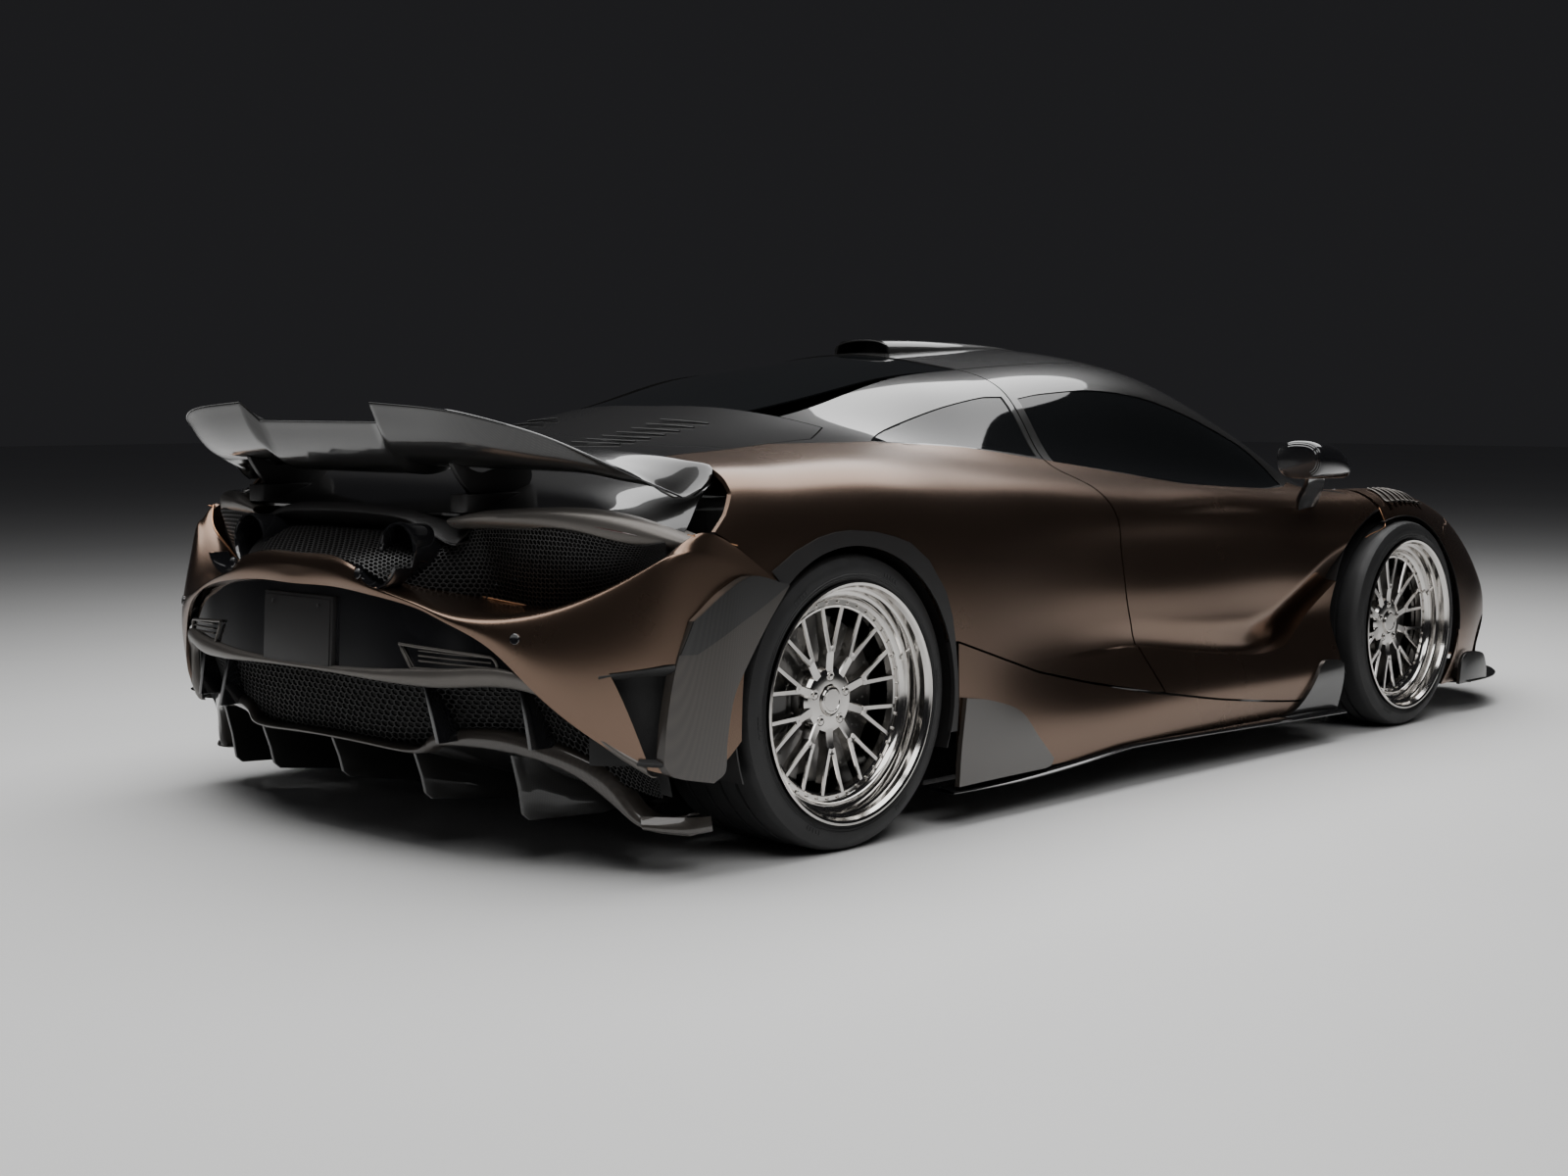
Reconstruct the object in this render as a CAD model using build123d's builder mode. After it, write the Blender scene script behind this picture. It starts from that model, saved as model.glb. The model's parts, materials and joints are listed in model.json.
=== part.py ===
"""Mid-engined two-seat supercar: an assembly of tub, body panels, glass, doors, lid, wheels and aero parts.

Frame: origin on the ground at the middle of the overall length, +X forward, +Y to the car's left, +Z up.
All sizes are in millimetres.
"""

import math
import os

from build123d import *

# ------------------------------------------------------------------ driving dimensions
overall_length = 4550
wheelbase = 2670
rear_overhang = 865
body_width = 1936
roof_height = 1190

tyre_front_diameter = 656
tyre_front_width = 255
rim_front_diameter = 542
tyre_rear_diameter = 691
tyre_rear_width = 315
rim_rear_diameter = 566
wheel_inset = 8  # from the widest point of the body to the tyre's face
spoke_count = 10
bolt_circle = 112
lug_hole_diameter = 15
disc_diameter = 390
disc_thickness = 32
axle_diameter = 60
kingpin_inset = 80  # from the tyre's middle plane to the steering axis
steer_angle = 30

panel_thickness = 10
glass_thickness = 6
glass_recess = 2
door_gap = 7
lid_gap = 6
seat_gap = 0.3  # where one fixed piece is seated on another
bearing_clearance = 0.05

rear_arch_radius = 362
front_arch_length = 372  # half lengths of the front opening
front_arch_height = 342
liner_thickness = 4
rear_well_radius = 376
front_well_length = 398
front_well_height = 374
front_well_inner_y = 525
rear_well_inner_y = 600

floor_height = 92
floor_thickness = 12
hinge_pin_diameter = 8
hinge_knuckle_diameter = 20
lid_pin_diameter = 8
lid_knuckle_diameter = 18
pipe_diameter = 104
pipe_wall = 5
tub_start = 900  # stations of the tub and of the cabin inside it
tub_end = 2420
cabin_start = 970
cabin_end = 2250

# ------------------------------------------------------------------ positions worked out from them
rear_axle_x = rear_overhang - overall_length / 2
front_axle_x = rear_axle_x + wheelbase
half_width = body_width / 2
front_axle_z = tyre_front_diameter / 2
rear_axle_z = tyre_rear_diameter / 2
front_wheel_y = half_width - wheel_inset - tyre_front_width / 2
rear_wheel_y = half_width - wheel_inset - tyre_rear_width / 2
kingpin_y = front_wheel_y - kingpin_inset

DRAWN_WHEELBASE = 2670  # what the body sections below were drawn for
DRAWN_HALF_WIDTH = 968
DRAWN_ROOF = 1190
DRAWN_BELT = 700
SILL_DROP = 60


def sx(station):
    """The x of a body station, which is given as a distance ahead of the rear axle."""
    if station <= 0:
        return rear_axle_x + station
    if station <= DRAWN_WHEELBASE:
        return rear_axle_x + station * wheelbase / DRAWN_WHEELBASE
    return front_axle_x + station - DRAWN_WHEELBASE


def sy(width):
    return width * half_width / DRAWN_HALF_WIDTH


def sz(height):
    if height <= DRAWN_BELT:
        return height
    return DRAWN_BELT + (height - DRAWN_BELT) * (roof_height - DRAWN_BELT) / (DRAWN_ROOF - DRAWN_BELT)


# ------------------------------------------------------------------ body sections
# At each station, the outer skin as (half width, height) from the sill's lower edge over the lower side, crest,
# shoulder, glass base and cantrail to the roof's centre.
BODY_SECTIONS = {
    -865: [(900, 240), (925, 340), (932, 440), (930, 540), (915, 630), (885, 705), (820, 762), (690, 792), (470, 805), (235, 810), (0, 812)],
    -640: [(900, 200), (925, 330), (932, 430), (930, 540), (915, 640), (885, 725), (820, 790), (690, 825), (470, 840), (235, 846), (0, 848)],
    -400: [(945, 140), (960, 290), (962, 420), (960, 560), (950, 690), (925, 790), (870, 860), (760, 890), (520, 900), (260, 905), (0, 907)],
    -150: [(955, 125), (966, 285), (968, 420), (966, 565), (956, 700), (930, 805), (875, 875), (785, 905), (550, 925), (275, 935), (0, 938)],
    150: [(960, 104), (968, 275), (968, 420), (968, 570), (958, 700), (930, 805), (876, 875), (790, 912), (590, 950), (310, 985), (0, 995)],
    450: [(965, 104), (965, 250), (960, 400), (956, 550), (945, 680), (915, 785), (862, 855), (785, 900), (600, 975), (330, 1045), (0, 1065)],
    750: [(955, 104), (955, 240), (930, 390), (925, 540), (915, 670), (895, 765), (850, 830), (770, 878), (600, 1040), (360, 1105), (0, 1130)],
    1050: [(945, 104), (945, 235), (905, 385), (905, 530), (892, 665), (880, 750), (835, 810), (745, 858), (590, 1060), (390, 1130), (0, 1172)],
    1400: [(935, 104), (945, 235), (895, 385), (895, 520), (875, 655), (865, 740), (825, 785), (730, 828), (575, 1080), (390, 1150), (0, 1190)],
    1750: [(930, 104), (945, 230), (890, 380), (890, 515), (872, 640), (862, 715), (825, 770), (722, 795), (590, 1040), (390, 1140), (0, 1186)],
    2100: [(930, 104), (948, 230), (890, 380), (895, 500), (880, 610), (865, 690), (830, 745), (735, 770), (640, 915), (400, 1020), (0, 1065)],
    2400: [(935, 104), (955, 240), (925, 390), (920, 500), (905, 600), (890, 680), (845, 740), (770, 755), (690, 780), (420, 840), (0, 870)],
    2670: [(940, 104), (958, 240), (958, 380), (955, 520), (945, 620), (915, 700), (860, 745), (770, 752), (600, 735), (320, 745), (0, 760)],
    2950: [(935, 104), (955, 240), (955, 350), (948, 470), (930, 570), (900, 650), (845, 705), (760, 715), (600, 680), (320, 680), (0, 690)],
    3200: [(900, 104), (925, 240), (925, 330), (915, 420), (895, 500), (860, 575), (810, 630), (730, 640), (580, 600), (310, 595), (0, 605)],
    3450: [(800, 104), (830, 240), (835, 320), (825, 390), (800, 445), (765, 495), (710, 530), (630, 540), (480, 525), (260, 525), (0, 530)],
    3685: [(640, 104), (680, 220), (690, 270), (680, 320), (655, 360), (620, 390), (560, 415), (470, 430), (350, 430), (180, 430), (0, 430)],
}
# How far in and down the doors' inner face and the tub's outer face lie from each of those points.
DOOR_DEPTHS = [(150, 0), (150, 0), (130, 0), (130, 0), (120, 0), (110, -10), (95, -45), (50, -45), (30, -30), (12, -40), (0, -40)]
CABIN_DEPTHS = [(290, 40), (270, 20), (220, 10), (215, 0), (205, 0), (190, -20), (160, -70), (95, -75), (62, -52), (20, -62), (0, -62)]


def inset_points(points, depth):
    """A section's points moved square to the section, inwards."""
    moved = []
    for i, (w, z) in enumerate(points):
        before = points[max(i - 1, 0)]
        after = points[i + 1] if i + 1 < len(points) else (-points[i - 1][0], points[i - 1][1])
        along = Vector(after[0] - before[0], after[1] - before[1]).normalized()
        below = SILL_DROP if i == 0 else 0  # keeps the inner solid open at the bottom
        moved.append((max(w - along.Y * depth, 0), z + along.X * depth - below))
    return moved


def deepened(depths, extra=0):
    """The body sections with each point moved in and down by its own depth, plus an even extra."""
    sections = {}
    for station, points in BODY_SECTIONS.items():
        moved = [(max(w - dw, 0), z + dz) for (w, z), (dw, dz) in zip(points, depths)]
        sections[station] = inset_points(moved, extra) if extra else moved
    return sections


def skin_solid(sections, depth=0):
    """The solid lofted through body sections, each moved in square to itself by depth."""
    with BuildPart() as shape:
        for station, points in sections.items():
            right = [(-sy(w), sz(z)) for w, z in (inset_points(points, depth) if depth else points)]
            left = [(-y, z) for y, z in reversed(right[:-1])]
            with BuildSketch(Plane.YZ.offset(sx(station))):
                with BuildLine():
                    Spline(*right, *left)
                    Line(left[-1], right[0])
                make_face()
        loft()
    return shape.part


def side_prism(outline, w_from=0.0, w_to=1100.0, gap=0.0):
    """A prism on the car's right, from an outline of (station, height) seen from the side."""
    with BuildPart() as shape:
        with BuildSketch(Plane.XZ.offset(sy(w_from))):
            with BuildLine():
                Polyline(*[(sx(t), sz(z)) for t, z in outline], close=True)
            make_face()
            if gap:
                offset(amount=gap, kind=Kind.INTERSECTION)
        extrude(amount=sy(w_to) - sy(w_from))
    return shape.part


def top_prism(outline, z_from=0.0, z_to=1400.0, gap=0.0):
    """A prism on the car's right, from an outline of (station, half width) seen from above."""
    with BuildPart() as shape:
        with BuildSketch(Plane.XY.offset(z_from)):
            with BuildLine():
                Polyline(*[(sx(t), -sy(w)) for t, w in outline], close=True)
            make_face()
            if gap:
                offset(amount=gap, kind=Kind.INTERSECTION)
        extrude(amount=z_to - z_from)
    return shape.part


def both_sides(shape):
    return shape + mirror(shape, about=Plane.XZ)


def block(t_from, t_to, w_from, w_to, z_from, z_to):
    """A plain block on the car's right."""
    with BuildPart() as shape:
        with BuildSketch(Plane.XY.offset(z_from)):
            with BuildLine():
                Polyline(
                    (sx(t_from), -sy(w_from)), (sx(t_to), -sy(w_from)), (sx(t_to), -sy(w_to)), (sx(t_from), -sy(w_to)), close=True
                )
            make_face()
        extrude(amount=z_to - z_from)
    return shape.part


def wheel_prism(x, z, half_length, half_height, y_from, y_to):
    """An elliptic cylinder across the car on its right, around a wheel's centre."""
    with BuildPart() as shape:
        with BuildSketch(Plane.XZ.offset(y_from)):
            with Locations((x, z)):
                Ellipse(half_length, half_height)
        extrude(amount=y_to - y_from)
    return shape.part


outer_skin = skin_solid(BODY_SECTIONS)
panel_inner = skin_solid(BODY_SECTIONS, panel_thickness)
glass_outer = skin_solid(BODY_SECTIONS, glass_recess)
glass_inner = skin_solid(BODY_SECTIONS, glass_recess + glass_thickness)
door_inner = skin_solid(deepened(DOOR_DEPTHS))
tub_outer = skin_solid(deepened(DOOR_DEPTHS, door_gap))
cabin_shape = skin_solid(deepened(CABIN_DEPTHS))

# ------------------------------------------------------------------ panel outlines
DOOR_OUTLINE = [
    (1318, 238), (1262, 340), (1215, 436), (1184, 519), (1178, 611), (1176, 690), (1158, 745), (1122, 805),
    (1072, 852), (1048, 884), (1046, 960), (1041, 1045), (1036, 1100), (1040, 1250), (2100, 1250), (2470, 800), (2512, 755), (2553, 698), (2551, 640),
    (2450, 606), (2380, 560), (2300, 440), (2262, 330), (2262, 165), (2068, 144), (1639, 189),
]
WINDOW_OUTLINE = [
    (1087, 872), (1369, 840), (1730, 795), (2156, 769), (2258, 776), (2222, 834),
    (2138, 903), (1925, 988), (1695, 1044), (1454, 1066), (1197, 1056), (1075, 1043),
]
QUARTER_LINE = [(-865, 250), (-865, 1300), (1600, 1300), (1600, 243), (1280, 243), (797, 353), (383, 458), (300, 458), (300, 250)]
BUMPER_CUT = [(-230, 600), (-262, 640), (-375, 728), (-505, 755), (-900, 755), (-900, 100), (-230, 100)]
QUARTER_WINDOW = [
    (368, 938), (511, 972), (727, 1020), (915, 1046), (1010, 1048), (1018, 976), (1020, 886), (805, 909), (611, 926),
]
ROOF_EDGE = 430  # half width of the roof panel
LID_OUTLINE = [(2480, 0), (2480, 450), (2466, 590), (2700, 620), (2960, 600), (3200, 520), (3260, 300), (3270, 0)]
WINDSCREEN_OUTLINE = [(1965, 0), (1950, 340), (2010, 385), (2200, 500), (2395, 612), (2420, 400), (2430, 0)]
DECK_OUTLINE = [(-700, 0), (-700, 560), (-400, 640), (200, 640), (330, 560), (290, 330), (270, 0)]
REAR_WINDOW_OUTLINE = [(275, 0), (295, 320), (600, 370), (1035, 420), (1035, 0)]
FRONT_BUMPER_CUT = [(3036, 100), (3036, 330), (2995, 440), (2960, 560), (3010, 620), (3110, 640), (3150, 900), (3800, 900), (3800, 100)]

front_well = wheel_prism(front_axle_x, front_axle_z, front_well_length, front_well_height, front_well_inner_y, 1100)
front_well_outer = wheel_prism(
    front_axle_x, front_axle_z, front_well_length + liner_thickness, front_well_height + liner_thickness, front_well_inner_y, 1100
)
rear_well = wheel_prism(rear_axle_x, rear_axle_z, rear_well_radius, rear_well_radius, rear_well_inner_y, 1100)
rear_well_outer = wheel_prism(
    rear_axle_x, rear_axle_z, rear_well_radius + liner_thickness, rear_well_radius + liner_thickness, rear_well_inner_y, 1100
)
front_opening = wheel_prism(front_axle_x, front_axle_z, front_arch_length, front_arch_height, 700, 1100)
rear_opening = wheel_prism(rear_axle_x, rear_axle_z, rear_arch_radius, rear_arch_radius, 700, 1100)
openings = both_sides(front_opening) + both_sides(rear_opening)
wells = both_sides(front_well_outer) + both_sides(rear_well_outer)

door_zone = side_prism(DOOR_OUTLINE)
door_hole = side_prism(DOOR_OUTLINE, gap=door_gap)
ROOF_CUT = [(800, 430), (1900, 430), (1985, 437), (2420, 685), (2480, 742), (2560, 772), (2560, 1100), (800, 1100)]
beyond_roof = top_prism(ROOF_CUT)
beyond_roof_gap = top_prism(ROOF_CUT, gap=door_gap)
door_holes = both_sides(door_hole & beyond_roof_gap)
lid_hole = both_sides(top_prism(LID_OUTLINE, 400, gap=lid_gap))
lid_zone = both_sides(top_prism(LID_OUTLINE, 400))
windscreen_zone = both_sides(top_prism(WINDSCREEN_OUTLINE, 700))
deck_zone = both_sides(top_prism(DECK_OUTLINE, 700))
rear_window_zone = both_sides(top_prism(REAR_WINDOW_OUTLINE, 700))
window_zone = side_prism(WINDOW_OUTLINE, 380)
quarter_window_zone = both_sides(side_prism(QUARTER_WINDOW, 380))
bumper_cut = both_sides(side_prism(BUMPER_CUT))
front_bumper_cut = both_sides(side_prism(FRONT_BUMPER_CUT))
glass_shell = glass_outer - glass_inner
panel_shell = outer_skin - panel_inner

parts = {}


def keep(shape, name):
    parts[name] = shape
    print(name, round(shape.volume / 1e6, 2), "dm3", len(shape.solids()), shape.is_valid)


# ------------------------------------------------------------------ door hinges
# The axis runs just under the skin from the top of the wheel arch to the roof, ahead of the whole door.
HINGE_LOW = (2550, 695, 735)  # station, half width, height of the lower and upper hinge
HINGE_HIGH = (1925, 399, 1066)
hinge_points = (HINGE_LOW, HINGE_HIGH)
arm_lengths = (95, 60)
knuckle_length = 12
hinge_side_gap = 6  # along the axis, between a knuckle and the lugs beside it
lug_length = 14
cap_clearance = 20  # how far the flush top of an arm starts from the axis
edge_clearance = 46  # nearest that the door's own edge comes to the axis by the roof


def on_right(point):
    t, w, z = point
    return Vector(sx(t), -sy(w), sz(z))


hinge_axis = (on_right(HINGE_HIGH) - on_right(HINGE_LOW)).normalized()
hinge_outward = (Vector(0, -1, 0) - hinge_axis * Vector(0, -1, 0).dot(hinge_axis)).normalized()


def on_hinge(point, radius, length, along=0.0):
    """A cylinder around the door's hinge axis, centred at a distance along it from one of the hinges."""
    with BuildPart(Plane(origin=on_right(point) + hinge_axis * along, z_dir=hinge_axis)) as shape:
        Cylinder(radius, length)
    return shape.part


def hinge_box(point, out_from, out_to, up_from, up_to, length):
    """A box square to the hinge axis, placed by how far it reaches outward and up from the axis."""
    with BuildPart(Plane(origin=on_right(point), x_dir=hinge_outward, z_dir=hinge_axis)) as shape:
        with Locations(((out_from + out_to) / 2, (up_from + up_to) / 2, 0)):
            Box(out_to - out_from, up_to - up_from, length)
    return shape.part


def hinge_feet(point, along, gap=0.0):
    """The block that carries one of the upper lugs, let into the tub."""
    foot = hinge_box(point, -7 - gap, 7 + gap, -16 - gap, 0, lug_length + 2 * gap)
    return Pos(*(hinge_axis * along)) * foot


knuckle_radius = hinge_knuckle_diameter / 2
pin_radius = hinge_pin_diameter / 2
lug_shift = knuckle_length / 2 + hinge_side_gap + lug_length / 2
arms, notches, bores, lugs, pins, feet, sockets, lug_room = [Part() for _ in range(8)]
for point, arm_length in zip(hinge_points, arm_lengths):
    arms += on_hinge(point, knuckle_radius, knuckle_length)
    arms += hinge_box(point, 0, arm_length, -knuckle_radius, knuckle_radius * 0.4, knuckle_length)
    arms += hinge_box(point, cap_clearance, arm_length, -knuckle_radius, 70, knuckle_length)
    notches += hinge_box(point, -18, arm_length + door_gap, -knuckle_radius - 6, 90, knuckle_length + 2 * hinge_side_gap)
    notches += on_hinge(point, knuckle_radius + 6, knuckle_length + 2 * hinge_side_gap)
    bores += on_hinge(point, pin_radius + bearing_clearance, 110)
    pins += on_hinge(point, pin_radius, 2 * lug_shift + lug_length)
    lug_room += on_hinge(point, knuckle_radius - 2.5 + seat_gap, 2 * lug_shift + lug_length + 1)
    for side in (-1, 1):
        lugs += on_hinge(point, knuckle_radius - 2.5, lug_length, side * lug_shift)
        if point is HINGE_HIGH:
            feet += hinge_feet(point, side * lug_shift)
            sockets += hinge_feet(point, side * lug_shift, seat_gap)

# ------------------------------------------------------------------ doors
door_clear_well = wheel_prism(
    front_axle_x, front_axle_z, front_well_length + liner_thickness + door_gap, front_well_height + liner_thickness + door_gap, 400, 1100
)
door_shell = (outer_skin - door_inner) & door_zone & beyond_roof
horn_thickness = 6
horn_bulk = skin_solid(BODY_SECTIONS, horn_thickness) & block(2455, 2600, 600, 1100, 600, 900)
edge_path = on_hinge(HINGE_HIGH, edge_clearance, 400, -150)
back_edge = (side_prism(DOOR_OUTLINE, 380) - side_prism(DOOR_OUTLINE, 380, gap=-16)) & block(1000, 1130, 380, 1100, 815, 1300) & panel_inner
door = (((door_shell - window_zone) - door_clear_well - horn_bulk) - edge_path - back_edge) + ((arms & outer_skin) - door_clear_well)
door = door - bores
keep(door, "door_right")
keep(mirror(door, about=Plane.XZ), "door_left")
door_glass = glass_shell & window_zone
keep(door_glass, "door_glass_right")
keep(mirror(door_glass, about=Plane.XZ), "door_glass_left")
notches_both = both_sides(notches + lug_room)

# ------------------------------------------------------------------ tub and roof frame
belt_height = sz(760)
cabin_room = cabin_shape & block(cabin_start, cabin_end, -900, 900, 150, 1300)
tub_block = block(tub_start, tub_end, -1100, 1100, floor_height + floor_thickness + seat_gap, 1300)
tub_body = (tub_outer & tub_block) - cabin_room - wells
lower_tub = tub_body & block(tub_start, tub_end, -1100, 1100, 0, belt_height)
upper_tub = tub_body & block(tub_start, tub_end, -1100, 1100, belt_height, 1400)
upper_tub = upper_tub - windscreen_zone - both_sides(window_zone) - quarter_window_zone - rear_window_zone
tub = ((lower_tub & block(tub_start, tub_end, -786, 786, 0, belt_height)) + upper_tub) - notches_both - both_sides(sockets)
keep(tub, "monocoque")
# Hinge brackets: the upper lugs stand on the tub's header, the lower ones on a shelf above the arch liner.
shelf = block(tub_end + seat_gap, 2610, 642, 730, 694, 706)
lower_feet = top_prism([(2500, 684), (2590, 684), (2590, 706), (2500, 706)], 706, 734)
hinges = ((feet + lower_feet + shelf + lugs) - notches - wells) + pins
hinges = both_sides(Part() + [piece for piece in hinges.solids() if piece.volume > 2e3])

# ------------------------------------------------------------------ panels
roof_zone = block(1035, 1960, -ROOF_EDGE, ROOF_EDGE, 800, 1300) - windscreen_zone
keep((panel_shell & roof_zone) - notches_both - door_holes, "roof_panel")
keep(glass_shell & windscreen_zone, "windscreen")

# ------------------------------------------------------------------ tail and nose in plan
with BuildPart() as tail_plan:
    with BuildSketch(Plane.XY):
        with BuildLine():
            Spline((sx(-865), 0), (sx(-848), -sy(350)), (sx(-745), -sy(650)), (sx(-600), -sy(880)), (sx(-440), -sy(1000)))
            Polyline((sx(-440), -sy(1000)), (sx(-440), -sy(1100)), (sx(3400), -sy(1100)), (sx(3400), 0), (sx(-865), 0))
        make_face()
    extrude(amount=1400)
tail_shape = both_sides(tail_plan.part)


def rear_prism(outline, t_from, t_to, gap=0.0):
    """A prism along the car on its right, from an outline of (half width, height) seen from behind."""
    with BuildPart() as shape:
        with BuildSketch(Plane.YZ.offset(sx(t_from))):
            with BuildLine():
                Polyline(*[(-sy(w), sz(z)) for w, z in outline], close=True)
            make_face()
            if gap:
                offset(amount=gap, kind=Kind.INTERSECTION)
        extrude(amount=sx(t_to) - sx(t_from))
    return shape.part


FASCIA_OUTLINE = [(0, 430), (550, 400), (750, 340), (880, 260), (1050, 230), (1050, 190), (860, 190), (640, 270), (0, 284)]
fascia_zone = both_sides(rear_prism(FASCIA_OUTLINE, -900, -228))
REAR_BUMPER_OUTLINE = [
    (0, 430), (550, 400), (750, 340), (880, 260), (1050, 230), (1050, 790), (930, 754), (900, 712), (750, 621), (620, 580), (500, 586), (420, 600), (0, 600)
]
rear_bumper_zone = both_sides(rear_prism(REAR_BUMPER_OUTLINE, -900, -228)) & bumper_cut
tail_inner = (panel_inner & block(-780, 3400, -1100, 1100, 0, 1300)) & mirror(Pos(60, 0, 0) * tail_shape, about=Plane.XZ)
rear_bumper_body = (((outer_skin & tail_shape) - tail_inner) & rear_bumper_zone) - openings
keep(rear_bumper_body, "rear_bumper")

# ------------------------------------------------------------------ quarters, fenders, pillars, front bumper
above_quarter_line = both_sides(side_prism(QUARTER_LINE))
quarter = (((panel_shell & tail_shape) & above_quarter_line & block(-700, 1350, 0, 1100, 0, 1300)) - door_holes - roof_zone - rear_window_zone - deck_zone - openings - rear_bumper_zone)
quarter = quarter - quarter_window_zone - fascia_zone - (Pos(-3, 0, 0) * door_holes)
keep(both_sides(quarter), "rear_quarters")
keep(glass_shell & (rear_window_zone + quarter_window_zone), "rear_windows")
cowl_gap = both_sides(top_prism([(2380, 0), (2380, 640), (2500, 640), (2500, 0)], 600))
fender = (panel_shell & block(2440, 3200, 0, 1100, 0, 1300)) - door_holes - lid_hole - windscreen_zone - openings - front_bumper_cut - cowl_gap - notches_both - (Pos(12, 0, 0) * door_holes)
fender = Part() + [piece for piece in fender.solids() if piece.volume > 1e5]
keep(both_sides(fender), "front_fenders")
pillars = (panel_shell & block(1900, 2419, -1100, 1100, 700, 1300)) - door_holes - windscreen_zone - roof_zone - notches_both
keep(pillars, "windscreen_pillars")
nose_inner = panel_inner & block(2000, 3640, -1100, 1100, 0, 1300)
front_bumper = ((outer_skin & front_bumper_cut) - nose_inner) - lid_hole - openings
keep(front_bumper, "front_bumper")

keep((panel_shell & deck_zone & tail_shape) - rear_bumper_zone, "engine_cover")

# ------------------------------------------------------------------ front lid and its hinges
lid_hinge_x, lid_hinge_z = sx(2466), sz(806)
lid_pin_y = sy(330)


def lid_cylinder(radius, y_from, y_to):
    with BuildPart() as shape:
        with BuildSketch(Plane.XZ.offset(y_from)):
            with Locations((lid_hinge_x, lid_hinge_z)):
                Circle(radius)
        extrude(amount=y_to - y_from)
    return shape.part


lid_ring = lid_cylinder(lid_knuckle_diameter / 2, lid_pin_y - 15, lid_pin_y + 15)
with BuildPart() as lid_arm:
    with BuildSketch(Plane.XZ.offset(lid_pin_y - 15)):
        with Locations((lid_hinge_x, lid_hinge_z - 4)):
            Rectangle(40, 9, align=(Align.MIN, Align.CENTER))
    extrude(amount=30)
lid_bore = lid_cylinder(lid_pin_diameter / 2 + bearing_clearance, lid_pin_y - 60, lid_pin_y + 60)
front_lid = (panel_shell & lid_zone) + both_sides(lid_ring + lid_arm.part) - both_sides(lid_bore)
keep(front_lid, "front_lid")
cowl_zone = both_sides(top_prism([(2400, 0), (2400, 600), (2473, 600), (2473, 0)], 600))
cowl_depth = 24
cowl = (skin_solid(BODY_SECTIONS, cowl_depth) - skin_solid(BODY_SECTIONS, cowl_depth + 8)) & cowl_zone
lid_lug = lid_cylinder(lid_knuckle_diameter / 2, lid_pin_y - 40, lid_pin_y - 20) + lid_cylinder(lid_knuckle_diameter / 2, lid_pin_y + 20, lid_pin_y + 40)
with BuildPart() as lug_foot:
    with BuildSketch(Plane.XZ.offset(lid_pin_y - 40)):
        with Locations((lid_hinge_x, lid_hinge_z)):
            Rectangle(lid_knuckle_diameter, 60, align=(Align.CENTER, Align.MAX))
    extrude(amount=80)
lug_foot_right = (lug_foot.part - lid_cylinder(17, lid_pin_y - 20, lid_pin_y + 20)) - skin_solid(BODY_SECTIONS, cowl_depth + 8)
cowl = (cowl + both_sides(lid_lug + lug_foot_right)) - both_sides(lid_cylinder(17, lid_pin_y - 20, lid_pin_y + 20)) - both_sides(lid_bore)
cowl_bulkhead = (block(2402, 2418, -390, 390, belt_height + seat_gap, 1000) & skin_solid(BODY_SECTIONS, cowl_depth + 4)) - wells
keep(cowl + cowl_bulkhead, "cowl")
lid_pins = both_sides(lid_cylinder(lid_pin_diameter / 2, lid_pin_y - 40, lid_pin_y + 40))
keep(hinges + lid_pins, "hinges")

# ------------------------------------------------------------------ floor, skirts, splitter, diffuser
floor_top = floor_height + floor_thickness
UNDERBODY_OUTLINE = [(-300, 0), (-300, 560), (380, 600), (380, 858), (2260, 858), (2260, 520), (3040, 520), (3040, 0)]
keep(both_sides(top_prism(UNDERBODY_OUTLINE, floor_height, floor_top)), "underbody")

SKIRT_OUTLINE = [
    (384, 104.3), (384, 452), (797, 347), (1276, 236), (1322, 231.7), (1639, 182.7), (2068, 137.7), (2262, 158.7), (2262, 104.3)
]
skirt_zone = side_prism(SKIRT_OUTLINE, 797)
skirt = (skin_solid(BODY_SECTIONS, 12) & skirt_zone) - wells - door_holes
blade = top_prism([(384, 858.3), (384, 968), (2183, 968), (2262, 940), (2262, 858.3)], floor_height - 10, floor_top)
REAR_FIN = [(323, 86), (408, 310), (626, 252), (761, 116), (762, 86)]
rear_fin = side_prism(REAR_FIN, 960, 968)
skirt_blade = (blade + rear_fin) - rear_opening
keep(both_sides(skirt) + both_sides(skirt_blade), "side_skirts")

SPLITTER_OUTLINE = [(3040.3, 0), (3040.3, 962), (3235, 962), (3236, 930), (3400, 860), (3580, 740), (3685, 600), (3685, 0)]
splitter = top_prism(SPLITTER_OUTLINE, floor_height, floor_top)
SPLITTER_FIN = [(3081, 197), (3206, 183), (3227, 98), (3060, 98)]
splitter = splitter + side_prism(SPLITTER_FIN, 954, 962)
keep(both_sides(splitter) - openings, "front_splitter")

DIFFUSER_SIDE = [(-300.3, 92), (-300.3, 106), (-790, 285), (-812, 270), (-560, 160)]
diffuser = side_prism(DIFFUSER_SIDE, 0, 640)
for w in (-4, 303, 570):
    diffuser = diffuser + side_prism([(-320, 100), (-800, 272), (-735, 140), (-640, 120)], w, w + 8)
diffuser = diffuser - rear_well_outer
keep(both_sides(diffuser), "diffuser")

# ------------------------------------------------------------------ rear fascia, grille, lamps, exhaust
fascia = (((outer_skin & tail_shape) - tail_inner) & fascia_zone & bumper_cut) - openings - both_sides(diffuser)
keep(fascia, "rear_fascia")

muffler_x, pipe_z, pipe_y = sx(-560), 703, 294


def tail_slice(front, back):
    """A slice that follows the tail's plan, between two distances ahead of it."""
    return (Pos(front, 0, 0) * tail_shape) - (Pos(back, 0, 0) * tail_shape)


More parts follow.
